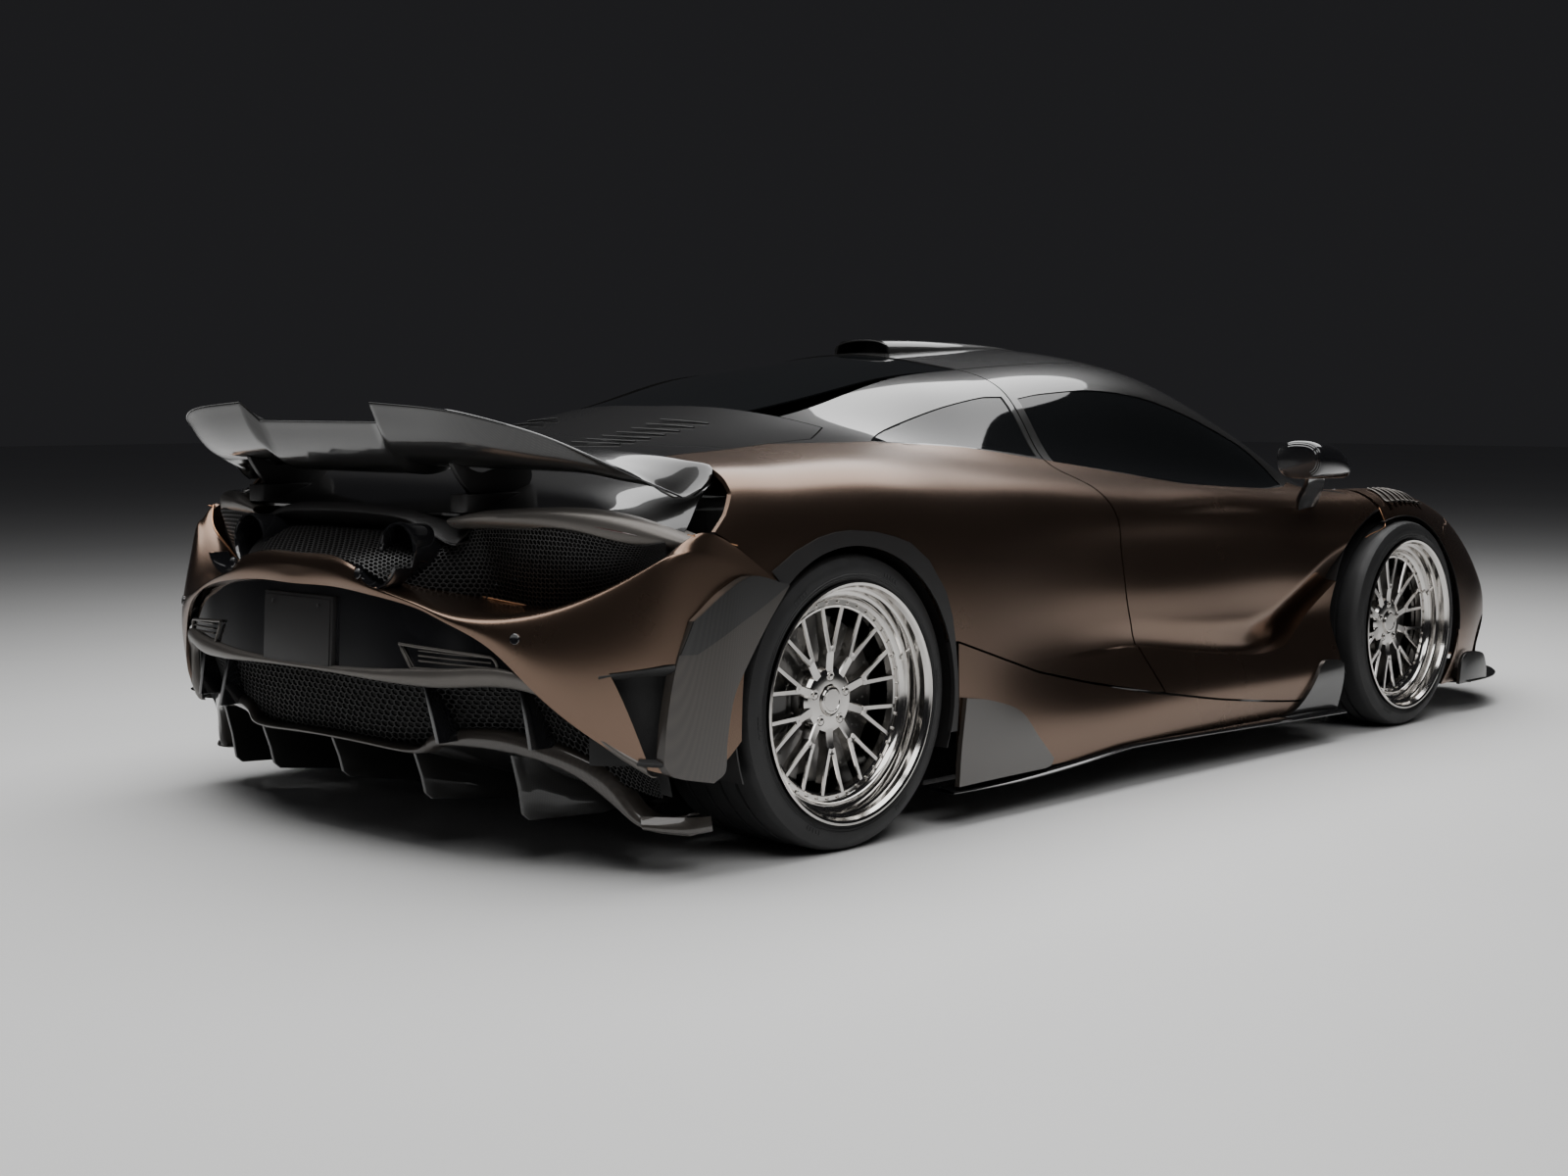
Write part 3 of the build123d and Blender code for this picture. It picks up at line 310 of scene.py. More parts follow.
def grid_normals(p):
    n = np.cross(np.gradient(p, axis=0), np.gradient(p, axis=1))
    return n / np.maximum(np.linalg.norm(n, axis=2, keepdims=True), 1e-12)


def shell_mesh(outer, inner):
    """A closed solid between two grids of the same shape. The inner face and the rims are the second material."""
    r, c = outer.shape[:2]
    verts = np.vstack([outer.reshape(-1, 3), inner.reshape(-1, 3)])
    base = r * c
    faces, kind = [], []
    for i in range(r - 1):
        for j in range(c - 1):
            a, b, d, e = i * c + j, i * c + j + 1, (i + 1) * c + j + 1, (i + 1) * c + j
            faces += [(a, b, d, e), (base + e, base + d, base + b, base + a)]
            kind += [0, 1]
    rim = [(0, j) for j in range(c)] + [(i, c - 1) for i in range(1, r)]
    rim += [(r - 1, j) for j in range(c - 2, -1, -1)] + [(i, 0) for i in range(r - 2, 0, -1)]
    ids = [i * c + j for i, j in rim]
    for a, b in zip(ids, ids[1:] + ids[:1]):
        faces.append((b, a, base + a, base + b))
        kind.append(1)
    return verts, [f[::-1] for f in faces], kind


def mirrored(p):
    """The right half's grid, from the sill to the centre, followed by its mirror image."""
    other = p[:, -2::-1] * (1, -1, 1)
    return np.concatenate([p, other], axis=1)


def full_width(rows):
    """The right half's rows, from the centre outward, led by their mirror image."""
    other = rows[:, :0:-1] * (1, -1, 1)
    return np.concatenate([other, rows], axis=1)


def offset_outline(points, gap):
    """A closed outline moved outward by gap, with mitred corners."""
    pts = [Vector(p) for p in points]
    area = sum(a.x * b.y - b.x * a.y for a, b in zip(pts, pts[1:] + pts[:1]))
    sign = 1 if area > 0 else -1
    moved = []
    for before, p, after in zip(pts[-1:] + pts[:-1], pts, pts[1:] + pts[:1]):
        a, b = (p - before).normalized(), (after - p).normalized()
        na, nb = Vector((a.y, -a.x)) * sign, Vector((b.y, -b.x)) * sign
        m = (na + nb).normalized()
        moved.append(tuple(p + m * (gap / max(m.dot(na), 0.35))))
    return moved


def rounded(points, keep=(), steps=6):
    """A closed outline drawn smoothly through its points, apart from the corners listed in keep."""
    n = len(points)
    pts = [Vector(p) for p in points]
    slopes = [(pts[(i + 1) % n] - pts[i - 1]) * 0.5 for i in range(n)]
    out = []
    for i in range(n):
        j = (i + 1) % n
        a, b = pts[i], pts[j]
        chord = b - a
        ma, mb = (chord if k in keep else slopes[k].normalized() * min(slopes[k].length, chord.length)
                  for k in (i, j))
        for s in range(steps):
            u = s / steps
            h = (2 * u**3 - 3 * u**2 + 1, u**3 - 2 * u**2 + u, -2 * u**3 + 3 * u**2, u**3 - u**2)
            out.append(tuple(a * h[0] + ma * h[1] + b * h[2] + mb * h[3]))
    return out


def rectangle(a0, a1, b0, b1):
    return [(a0, b0), (a1, b0), (a1, b1), (a0, b1)]


def symmetric(half):
    """An outline from above, closed by the mirror image of its half across the centre line."""
    return half + [(t, -w) for t, w in half[::-1] if w]


def prism(outline, view, low, high, gap=0.0):
    """A closed cutter from an outline seen from the side (t, z), from above (t, w) or from behind (w, z)."""
    if gap:
        outline = offset_outline(outline, gap)
    if view == "side":
        ring = [lambda d, p=p: (REAR_AXLE + p[0], -d, p[1]) for p in outline]
    elif view == "top":
        ring = [lambda d, p=p: (REAR_AXLE + p[0], -p[1], d) for p in outline]
    else:
        ring = [lambda d, p=p: (REAR_AXLE + d, -p[0], p[1]) for p in outline]
    n = len(ring)
    verts = [f(low) for f in ring] + [f(high) for f in ring]
    faces = [tuple(range(n)), tuple(range(2 * n - 1, n - 1, -1))]
    faces += [(i, n + i, n + (i + 1) % n, (i + 1) % n) for i in range(n)]
    return solid(verts, faces)


def solid(verts, faces):
    """A hidden helper mesh with its faces turned outward. Its cut faces take the second material."""
    mesh = bpy.data.meshes.new("cutter")
    mesh.from_pydata(verts, [], faces)
    with editing(mesh) as bm:
        bmesh.ops.triangulate(bm, faces=[f for f in bm.faces if len(f.verts) > 4])
        bmesh.ops.recalc_face_normals(bm, faces=bm.faces)
        for f in bm.faces:
            f.material_index = 2
    set_materials(mesh, PANEL_FINISH)
    return new_object("cutter", mesh)


def set_materials(mesh, names):
    mesh.materials.clear()
    for name in names:
        mesh.materials.append(MAT[name])


def copy_of(o):
    return new_object("cutter", o.data.copy())


def mirror_mesh(mesh):
    mesh.transform(Matrix.Scale(-1, 4, (0, 1, 0)))
    mesh.flip_normals()


def reflected(o):
    """A copy of o on the other side of the car."""
    mesh = o.data.copy()
    mirror_mesh(mesh)
    return new_object(o.name + "_left", mesh)


def carve(name, source, keep=(), cut=(), materials=PANEL_FINISH, sharp=28.0):
    """What is left of a source solid inside every keep cutter and outside every cut cutter."""
    o = new_object(name, source.data.copy())
    for cutters, operation in ((keep, "INTERSECT"), (cut, "DIFFERENCE")):
        for cutter in cutters:
            mod = o.modifiers.new("cut", "BOOLEAN")
            mod.operation = operation
            mod.solver = "MANIFOLD"
            mod.object = cutter
            mod.material_mode = "INDEX"
    baked = bpy.data.meshes.new_from_object(o.evaluated_get(bpy.context.evaluated_depsgraph_get()))
    o.modifiers.clear()
    o.data = baked
    set_materials(baked, materials)
    soften(o, sharp)
    return o


def drop(*objects):
    for o in objects:
        bpy.data.objects.remove(o)


# ------------------------------------------------------------------ body surface
BODY_SECTIONS = {
    -865: [
        (900, 240), (925, 340), (932, 440), (930, 540), (915, 630), (885, 705), (820, 762), (690, 792),
        (470, 805), (235, 810), (0, 812)
    ],
    -640: [
        (900, 200), (925, 330), (932, 430), (930, 540), (915, 640), (885, 725), (820, 790), (690, 825),
        (470, 840), (235, 846), (0, 848)
    ],
    -400: [
        (945, 140), (960, 290), (962, 420), (960, 560), (950, 690), (925, 790), (870, 860), (760, 890),
        (520, 900), (260, 905), (0, 907)
    ],
    -150: [
        (955, 125), (966, 285), (968, 420), (966, 565), (956, 700), (930, 805), (875, 875), (785, 905),
        (550, 925), (275, 935), (0, 938)
    ],
    150: [
        (960, 104), (968, 275), (968, 420), (968, 570), (958, 700), (930, 805), (876, 875), (790, 912),
        (590, 950), (310, 985), (0, 995)
    ],
    450: [
        (965, 104), (965, 250), (960, 400), (956, 550), (945, 680), (915, 785), (862, 855), (785, 900),
        (600, 975), (330, 1045), (0, 1065)
    ],
    750: [
        (955, 104), (955, 240), (930, 390), (925, 540), (915, 670), (895, 765), (850, 830), (770, 878),
        (600, 1040), (360, 1105), (0, 1130)
    ],
    1050: [
        (945, 104), (945, 235), (905, 385), (905, 530), (892, 665), (880, 750), (835, 810), (745, 858),
        (590, 1060), (390, 1130), (0, 1172)
    ],
    1400: [
        (935, 104), (945, 235), (895, 385), (895, 520), (875, 655), (865, 740), (825, 785), (730, 828),
        (575, 1080), (390, 1150), (0, 1190)
    ],
    1750: [
        (930, 104), (945, 230), (890, 380), (890, 515), (872, 640), (862, 715), (825, 770), (722, 795),
        (590, 1040), (390, 1140), (0, 1186)
    ],
    2100: [
        (930, 104), (948, 230), (890, 380), (895, 500), (880, 610), (865, 690), (830, 745), (735, 770),
        (640, 915), (400, 1020), (0, 1065)
    ],
    2400: [
        (935, 104), (955, 240), (925, 390), (920, 500), (905, 600), (890, 680), (845, 740), (770, 755),
        (690, 780), (420, 840), (0, 870)
    ],
    2670: [
        (940, 104), (958, 240), (958, 380), (955, 520), (945, 620), (915, 700), (860, 745), (770, 752),
        (600, 735), (320, 745), (0, 760)
    ],
    2950: [
        (935, 104), (955, 240), (955, 350), (948, 470), (930, 570), (900, 650), (845, 705), (760, 715),
        (600, 680), (320, 680), (0, 690)
    ],
    3200: [
        (900, 104), (925, 240), (925, 330), (915, 420), (895, 500), (860, 575), (810, 630), (730, 640),
        (580, 600), (310, 595), (0, 605)
    ],
    3450: [
        (800, 104), (830, 240), (835, 320), (825, 390), (800, 445), (765, 495), (710, 530), (630, 540),
        (480, 525), (260, 525), (0, 530)
    ],
    3685: [
        (640, 104), (680, 220), (690, 270), (680, 320), (655, 360), (620, 390), (560, 415), (470, 430),
        (350, 430), (180, 430), (0, 430)
    ]
}
DOOR_DEPTHS = [
    (150, 0), (150, 0), (130, 0), (130, 0), (120, 0), (110, -10), (95, -45), (50, -45), (30, -30), (12, -40),
    (0, -40)
]
# The blade's crisp top edge along the sill, and how far the door tucks in above it: (station, height, depth, reach up).
BLADE_EDGE = [
    (-0.865, 0.36, 0, 0.08), (0.9, 0.37, 0.0, 0.08), (1.15, 0.372, 0.004, 0.08), (1.26, 0.366, 0.010, 0.08),
    (1.45, 0.338, 0.02, 0.085), (1.65, 0.314, 0.032, 0.095), (1.843, 0.297, 0.045, 0.105),
    (1.98, 0.306, 0.056, 0.12), (2.08, 0.345, 0.062, 0.13), (2.176, 0.41, 0.058, 0.12),
    (2.28, 0.475, 0.045, 0.10), (2.379, 0.533, 0.025, 0.07), (2.45, 0.566, 0.004, 0.05), (2.6, 0.58, 0, 0.05),
    (3.685, 0.58, 0, 0.05)
]


def body_grid(depths=None, detail=True, step=0.0125, rows=(30, 96)):
    """Points of the right half of the body: stations by places from the sill up to the roof's centre."""
    stations = np.array(sorted(BODY_SECTIONS)) / 1000
    table = np.array([BODY_SECTIONS[s] for s in sorted(BODY_SECTIONS)], float) / 1000
    if depths:
        shift = np.array(depths, float) / 1000
        table = np.stack([np.maximum(table[..., 0] - shift[:, 0], 0), table[..., 1] + shift[:, 1]], axis=-1)
    t = np.linspace(stations[0], stations[-1], int((stations[-1] - stations[0]) / step) + 1)
    control = cubic(stations, table, t)
    edge = np.array(BLADE_EDGE)
    height, depth, reach = (np.interp(t, edge[:, 0], edge[:, k]) for k in (1, 2, 3))
    kernel = np.hanning(13) / np.hanning(13).sum()
    height, depth, reach = (
        np.convolve(np.pad(v, 6, "edge"), kernel, "valid") for v in (height, depth, reach)
    )
    fine = np.linspace(0, 10, 1001)
    grid = np.zeros((len(t), sum(rows) + 1, 3))
    for i in range(len(t)):
        full = np.vstack([control[i], (control[i][-2::-1]) * (-1, 1)])
        lengths = np.r_[0, np.cumsum(np.linalg.norm(np.diff(full, axis=0), axis=1))]
        at = np.interp(fine, np.arange(11), lengths[:11])
        curve = cubic(lengths, full, at)
        low = curve[:400]
        u_edge = fine[np.argmin(np.abs(low[:, 1] - height[i]))]
        u = np.r_[
            np.linspace(0, u_edge, rows[0]), u_edge + 0.03,
            u_edge + 0.03 + np.linspace(0, 1, rows[1]) ** 1.15 * (10 - u_edge - 0.03)
        ]
        u[rows[0] + 1] = u_edge + 0.05
        w = np.interp(u, fine, curve[:, 0])
        z = np.interp(u, fine, curve[:, 1])
        grid[i, :, 0] = REAR_AXLE + t[i]
        grid[i, :, 1] = -w
        grid[i, :, 2] = z
        if detail:
            up = np.clip((z - height[i]) / reach[i], 0, 1)
            tuck = depth[i] * (1 - up * up * (3 - 2 * up))
            tuck[: rows[0]] = 0
            grid[i, :, 1] += tuck
    grid[:, -1, 1] = 0
    return grid


def inset(grid, depth):
    """The grid moved inward, square to itself, and held on its own side of the centre line."""
    n = grid_normals(grid)
    n[:, -1, 1] = 0
    moved = grid - n * depth
    moved[:, :, 1] = np.minimum(moved[:, :, 1], 0)
    moved[:, -1, 1] = 0
    return moved


outer = body_grid()
if grid_normals(outer)[100, 60, 1] > 0:
    raise SystemExit("grid normals point inward")

# ------------------------------------------------------------------ panel outlines, in metres
def mm(points):
    return [(a / 1000, b / 1000) for a, b in points]


DOOR = rounded(
    mm(
        [
            (1318, 238), (1262, 340), (1215, 436), (1184, 519), (1178, 611), (1176, 690), (1158, 745),
            (1122, 805), (1072, 852), (1048, 884), (1046, 960), (1041, 1045), (1036, 1100), (1040, 1250),
            (2100, 1250), (2470, 800), (2512, 755), (2553, 698), (2551, 640), (2450, 606), (2380, 560),
            (2300, 440), (2262, 330), (2262, 165), (2068, 144), (1639, 189)
        ]
    ),
    keep=(0, 13, 14, 15, 18, 23)
)
WINDOW = rounded(mm([
    (1087, 872), (1369, 840), (1730, 795), (2156, 769), (2258, 776), (2222, 834),
    (2138, 903), (1925, 988), (1695, 1044), (1454, 1066), (1197, 1056), (1075, 1043),
]), keep=(0, 4, 11))
QUARTER_WINDOW = rounded(
    mm(
        [
            (368, 938), (511, 972), (727, 1020), (915, 1046), (1010, 1048), (1018, 976), (1020, 886),
            (805, 909), (611, 926)
        ]
    ),
    keep=(0, 4, 6)
)
ROOF_CUT = mm(
    [(800, 430), (1900, 430), (1985, 437), (2420, 685), (2480, 742), (2560, 772), (2560, 1100), (800, 1100)]
)
QUARTER_LINE = mm(
    [
        (-419, 757), (-380, 792), (-343, 837), (-334, 880), (-300, 960), (-100, 1300), (1600, 1300),
        (1600, 243), (1280, 243), (965, 302), (743, 350), (383, 458), (300, 458), (-262, 600), (-262, 645),
        (-375, 728)
    ]
)
LID = mm(
    [
        (2480, -450), (2480, 450), (2466, 590), (2700, 620), (2960, 600), (3200, 520), (3260, 300), (3270, 0),
        (3260, -300), (3200, -520), (2960, -600), (2700, -620), (2466, -590)
    ]
)
WINDSCREEN = symmetric(
    mm([(1965, 0), (1950, 340), (2010, 385), (2200, 500), (2395, 612), (2420, 400), (2430, 0)])
)
DECK = symmetric(mm([(-700, -560), (-400, -640), (200, -640), (330, -560), (290, -330), (270, 0)]))
REAR_GLASS = symmetric(mm([(275, 0), (295, 320), (600, 370), (1035, 420)]))
FRONT_BUMPER = rounded(
    mm(
        [
            (3036, 100), (3036, 330), (2995, 440), (2960, 560), (3010, 620), (3110, 640), (3150, 900),
            (3800, 900), (3800, 100)
        ]
    ),
    keep=(0, 6, 7, 8)
)
HEADLAMP = mm([(3180, 770), (3250, 700), (3400, 655), (3420, 690), (3330, 760), (3230, 815)])
SKIRT = mm(
    [
        (384, 105), (384, 452), (743, 344), (965, 296), (1276, 237), (1322, 232), (1639, 183), (2068, 138),
        (2262, 159), (2262, 105)
    ]
)
BELT = mm(
    [
        (-900, 800), (-500, 925), (100, 936), (368, 937), (700, 917), (1048, 878), (1369, 838), (1730, 793),
        (2156, 767), (2262, 770), (2300, 782), (2640, 700), (2640, 1400), (-900, 1400)
    ]
)


def ellipse(t, z, a, b, n=96):
    return [(t + a * math.cos(math.tau * i / n), z + b * math.sin(math.tau * i / n)) for i in range(n)]


def both(cutter):
    """The cutter joined with its mirror image."""
    twin = reflected(cutter)
    with editing(cutter.data) as bm:
        bm.from_mesh(twin.data)
    drop(twin)
    return cutter


FRONT_Z, REAR_Z = 0.328, 0.3455  # heights of the wheels' centres
FRONT_ARCH = 0.372, 0.342  # half length and half height
REAR_ARCH = 0.362
GAP = 0.006  # between the door and the panels round it
SKIN = 0.010


def whole_body(depth=SKIN, lift=0.0, core=None):
    """The full width of the body as a closed shell; lift sets its outer face back from the skin."""
    a = inset(outer, lift) if lift else outer
    b = core if core is not None else inset(outer, lift + depth)
    verts, faces, kind = shell_mesh(mirrored(a), mirrored(b))
    mesh = bpy.data.meshes.new("shell")
    mesh.from_pydata(verts.tolist(), [], faces)
    mesh.polygons.foreach_set("material_index", kind)
    set_materials(mesh, PANEL_FINISH)
    return new_object("shell", mesh)


def side_cutter(outline, low=0.0, high=1.1, gap=0.0):
    return prism(outline, "side", low, high, gap)


def roof_cutter(t0, t1, half, low, high, gap=0.0):
    """A cutter with a rectangular outline from above, as wide to the left as to the right."""
    return prism(rectangle(t0, t1, -half, half), "top", low, high, gap)


skin = whole_body()
glass = whole_body(0.004, 0.003)
door_core = body_grid(DOOR_DEPTHS, detail=False)
door_core[:, :, 1] = np.maximum(door_core[:, :, 1], outer[:, :, 1] + 0.012)
door_core[:, :, 1] = np.minimum(door_core[:, :, 1], 0)
door_solid = whole_body(core=door_core)
front_arch = both(side_cutter(ellipse(WHEELBASE, FRONT_Z, *FRONT_ARCH), 0.55))
rear_arch = both(side_cutter(ellipse(0, REAR_Z, REAR_ARCH, REAR_ARCH), 0.55))

# Doors: skin, inner trim and frame, in one piece below the belt and one above it.
door_zone = side_cutter(DOOR, 0.3)
roof_zone = prism(ROOF_CUT, "top", 0.05, 1.4)
window_cut = side_cutter(WINDOW, 0.3)
well_cut = side_cutter(ellipse(WHEELBASE, FRONT_Z, 0.409, 0.385), 0.4)
horn = side_cutter(rectangle(2.455, 2.7, 0.5, 0.9), 0.5)
above_belt = side_cutter(BELT, 0.0, 1.2)
HINGE_LOW, HINGE_HIGH = Vector((REAR_AXLE + 2.550, -0.695, 0.735)), Vector((REAR_AXLE + 1.925, -0.399, 1.066))
hinge_axis = (HINGE_HIGH - HINGE_LOW).normalized()
hinge_out = (Vector((0, -1, 0)) - hinge_axis * -hinge_axis.y).normalized()
hinge_up = hinge_axis.cross(hinge_out)


def rod(start, end, radius, n=32):
    """A closed cylinder between two points, as cutter or part."""
    axis = (end - start).normalized()
    a = axis.orthogonal().normalized()
    b = axis.cross(a)
    angles = [math.tau * i / n for i in range(n)]
    ring = [a * math.cos(c) * radius + b * math.sin(c) * radius for c in angles]
    verts = [start + r for r in ring] + [end + r for r in ring]
    faces = [tuple(range(n))[::-1], tuple(range(n, 2 * n))] + ring_faces(2, n)
    return verts, faces


edge_path = solid(*rod(HINGE_HIGH - hinge_axis * 0.35, HINGE_HIGH + hinge_axis * 0.05, 0.046))
door_full = carve("door_full", door_solid, [door_zone, roof_zone], [window_cut, well_cut, horn, edge_path])
door_horn = carve("door_horn", whole_body(0.005), [door_zone, roof_zone, horn], [well_cut])
lower = carve("door_right_skin", door_full, [], [above_belt])
upper = carve("door_right_frame", door_full, [above_belt], [], DARK_FINISH)


def hinge_arm(point, length):
    """The arm that carries the door: a ring around the pin and a bar."""
    bm = bmesh.new()
    half = 0.006

    def bar(o0, o1, u0, u1):
        ring = [point + hinge_out * o + hinge_up * u for o, u in ((o0, u0), (o1, u0), (o1, u1), (o0, u1))]
        low = [bm.verts.new(p - hinge_axis * half) for p in ring]
        high = [bm.verts.new(p + hinge_axis * half) for p in ring]
        bm.faces.new(low[::-1])
        bm.faces.new(high)
        for i in range(4):
            bm.faces.new((low[i], low[(i + 1) % 4], high[(i + 1) % 4], high[i]))

    bar(0.004, length, -0.010, 0.004)
    n = 40
    rings = [
        [
            bm.verts.new(
                point + (hinge_out * math.cos(math.tau * i / n) + hinge_up * math.sin(math.tau * i / n)) * r
                + hinge_axis * s
            )
            for i in range(n)
        ]
        for r, s in ((0.0042, -half), (0.010, -half), (0.010, half), (0.0042, half))
    ]
    for a, b in zip(rings, rings[1:] + rings[:1]):
        for i in range(n):
            bm.faces.new((a[i], a[(i + 1) % n], b[(i + 1) % n], b[i]))
    bmesh.ops.recalc_face_normals(bm, faces=bm.faces)
    mesh = bpy.data.meshes.new("arm")
    bm.to_mesh(mesh)
    bm.free()
    set_materials(mesh, ["aluminium"])
    o = new_object("door_right_arm", mesh)
    soften(o, 30)
    return o


arm_low, arm_high = hinge_arm(HINGE_LOW, 0.09), hinge_arm(HINGE_HIGH, 0.055)
door_glass = carve("door_right_glass", glass, [window_cut], [], ("tint",) * 3)
for o, slot, name, replaced in (
    (lower, "bronze_paint", "door_{}_skin", "door_{}"), (upper, "carbon", "door_{}_frame", "door_{}"),
    (door_horn, "bronze_paint", "door_{}_horn", "door_{}"), (arm_low, "alloy", "door_{}_arm_low", "door_{}"),
    (arm_high, "alloy", "door_{}_arm_high", "door_{}"),
    (door_glass, "tinted_glass", "door_{}_window", "door_glass_{}"),
):
    for side, item in (("right", o), ("left", reflected(o))):
        item.name = name.format(side)
        place(item, f"door_{side}", slot, replaced.format(side))

# Rear quarters: painted haunch below the belt line, buttress above it.
ROOF_HALF = 0.43  # half width of the flat roof between the doors
NEAR_CENTRE = 0.0005  # where a half cutter starts, so that it doesn't touch its mirror image
quarter_zone = both(side_cutter(QUARTER_LINE, NEAR_CENTRE))
deck_cut = prism(DECK, "top", 0.5, 1.4, 0.004)
glass_cut = prism(REAR_GLASS, "top", 0.5, 1.4, 0.003)
roof_strip = roof_cutter(-0.9, 2.2, ROOF_HALF, 0.7, 1.4, 0.002)
quarter_window_cut = both(side_cutter(QUARTER_WINDOW, 0.3))
door_pair = both(
    copy_of(carve("d", side_cutter(DOOR, 0.3, 1.1, GAP), [prism(ROOF_CUT, "top", 0.05, 1.4, GAP)]))
)
quarters = carve(
    "q", skin, [quarter_zone], [deck_cut, glass_cut, roof_strip, quarter_window_cut, door_pair, rear_arch]
)
above_both = both(side_cutter(BELT, NEAR_CENTRE, 1.2))
place(carve("rear_quarter_skins", quarters, [], [above_both]), "body", "bronze_paint", "rear_quarters")
place(carve("roof_buttresses", quarters, [above_both], [], DARK_FINISH), "body", "carbon", "rear_quarters")
place(
    carve("rear_window_glass", glass, [glass_cut], [], ("tint",) * 3), "body", "tinted_glass", "rear_windows"
)
place(
    carve("quarter_window_glass", glass, [quarter_window_cut], [], ("tint",) * 3), "body", "tinted_glass",
    "rear_windows"
)
arm_reach = solid(*rod(HINGE_HIGH - hinge_axis * 0.011, HINGE_HIGH + hinge_axis * 0.011, 0.062))
arm_side = prism(rectangle(1.8, 2.05, 0.389, 0.47), "top", 0.9, 1.3)
arm_room = both(copy_of(carve("arm_room", arm_reach, [arm_side])))
roof_keep = roof_cutter(1.037, 1.96, ROOF_HALF, 0.8, 1.4)
screen_zone = prism(WINDSCREEN, "top", 0.7, 1.4)
screen_cut = prism(WINDSCREEN, "top", 0.7, 1.4, 0.002)
place(
    carve("roof_skin", skin, [roof_keep], [screen_cut, door_pair, arm_room], DARK_FINISH), "body", "carbon",
    "roof_panel"
)
place(
    carve("windscreen_glass", glass, [screen_zone], [], ("tint",) * 3), "body", "tinted_glass", "windscreen"
)
pillar_keep = roof_cutter(1.9, 2.419, 1.1, 0.7, 1.4)
roof_gap_cut = roof_cutter(1.0, 1.962, ROOF_HALF, 0.8, 1.4)
place(
    carve("screen_pillars", skin, [pillar_keep], [screen_cut, roof_gap_cut, door_pair], DARK_FINISH), "body",
    "carbon", "windscreen_pillars"
)

# Front: fenders, lid, bumper and lamps.
lid_cut = prism(LID, "top", 0.4, 1.0, 0.005)
front_cut = both(side_cutter(FRONT_BUMPER, NEAR_CENTRE))
fender_keep = roof_cutter(2.44, 3.2, 1.1, 0.1, 1.0)
cowl_cut = roof_cutter(2.38, 2.5, 0.64, 0.5, 1.0)
door_ahead = copy_of(door_pair)
door_ahead.data.transform(Matrix.Translation((0.012, 0, 0)))
front_cut_gap = both(side_cutter(offset_outline(FRONT_BUMPER, 0.004), NEAR_CENTRE))
fenders = carve(
    "front_fender_skins", skin, [fender_keep],
    [door_pair, door_ahead, lid_cut, screen_cut, front_arch, front_cut_gap, cowl_cut]
)
place(fenders, "body", "bronze_paint", "front_fenders")
place(
    carve("front_lid_skin", skin, [prism(LID, "top", 0.4, 1.0)], [], PANEL_FINISH), "front_lid",
    "bronze_paint", "front_lid"
)
lamp_zone = both(prism(HEADLAMP, "top", 0.4, 1.0))
lamp_cut = both(prism(HEADLAMP, "top", 0.4, 1.0, 0.003))
place(
    carve("front_bumper_skin", skin, [front_cut], [lid_cut, front_arch, lamp_cut]), "body", "bronze_paint",
    "front_bumper"
)
place(carve("headlamp_lenses", glass, [lamp_zone], [], ("lens",) * 3), "body", "lamp_clear", "headlamps")
deck_zone = prism(DECK, "top", 0.5, 1.4)
tail_limit = roof_cutter(-0.30, 0.6, 0.8, 0.5, 1.4)
place(carve("engine_deck", skin, [deck_zone, tail_limit], [], DARK_FINISH), "body", "carbon", "engine_cover")
skirt_zone = both(side_cutter(SKIRT, 0.6, 1.1))
place(
    carve("side_skirt_skins", skin, [skirt_zone], [rear_arch, front_arch, door_pair]), "body", "bronze_paint",
    "side_skirts"
)


# ------------------------------------------------------------------ shaping helpers for added pieces
def world(points):
    """Points given as (station, width to the right, height) in the frame's coordinates."""
    return [(REAR_AXLE + t, -w, z) for t, w, z in points]


def patch(name, rows, depth, across, along, materials, mirror=False, centre=(0, 0, 0.4), sharp=32.0):
    """A closed panel, depth thick, behind a smooth surface through rows of (station, width, height)."""
    rows = np.array([world(row) for row in rows])
    if mirror:
        rows = full_width(rows)
    grid = patch_points(rows, across, along)
    n = grid_normals(grid)
    if np.sum(n * (grid - np.array(centre))) < 0:
        grid, n = grid[:, ::-1], -n[:, ::-1]
    verts, faces, kind = shell_mesh(grid, grid - n * depth)
    return piece(name, verts, faces, materials, sharp, kind)


def columns(*lines):
    """Rows of a patch from columns, each listed from its first row to its last."""
    return [list(row) for row in zip(*lines)]


def tube(name, path, radius, material, sides=10, closed=False, flat=1.0):
    """A round bar along a path of frame points."""
    pts = [Vector(p) for p in path]
    n = len(pts)
    verts = []
    up = Vector((0, 0, 1))
    for i, p in enumerate(pts):
        a = pts[i - 1] if closed or i else p
        b = pts[(i + 1) % n] if closed or i < n - 1 else p
        d = (b - a).normalized()
        s = d.cross(up)
        s = s.normalized() if s.length > 0.05 else d.cross(Vector((1, 0, 0))).normalized()
        u = s.cross(d)
        for k in range(sides):
            c = math.tau * k / sides
            verts.append(p + s * math.cos(c) * radius + u * math.sin(c) * radius * flat)
    faces = ring_faces(n, sides, closed)
    if not closed:
        faces += [tuple(range(sides))[::-1], tuple(range((n - 1) * sides, n * sides))]
    return fix_normals(piece(name, verts, faces, material, 40))


def fix_normals(o):
    with editing(o.data) as bm:
        bmesh.ops.recalc_face_normals(bm, faces=bm.faces)
    return o


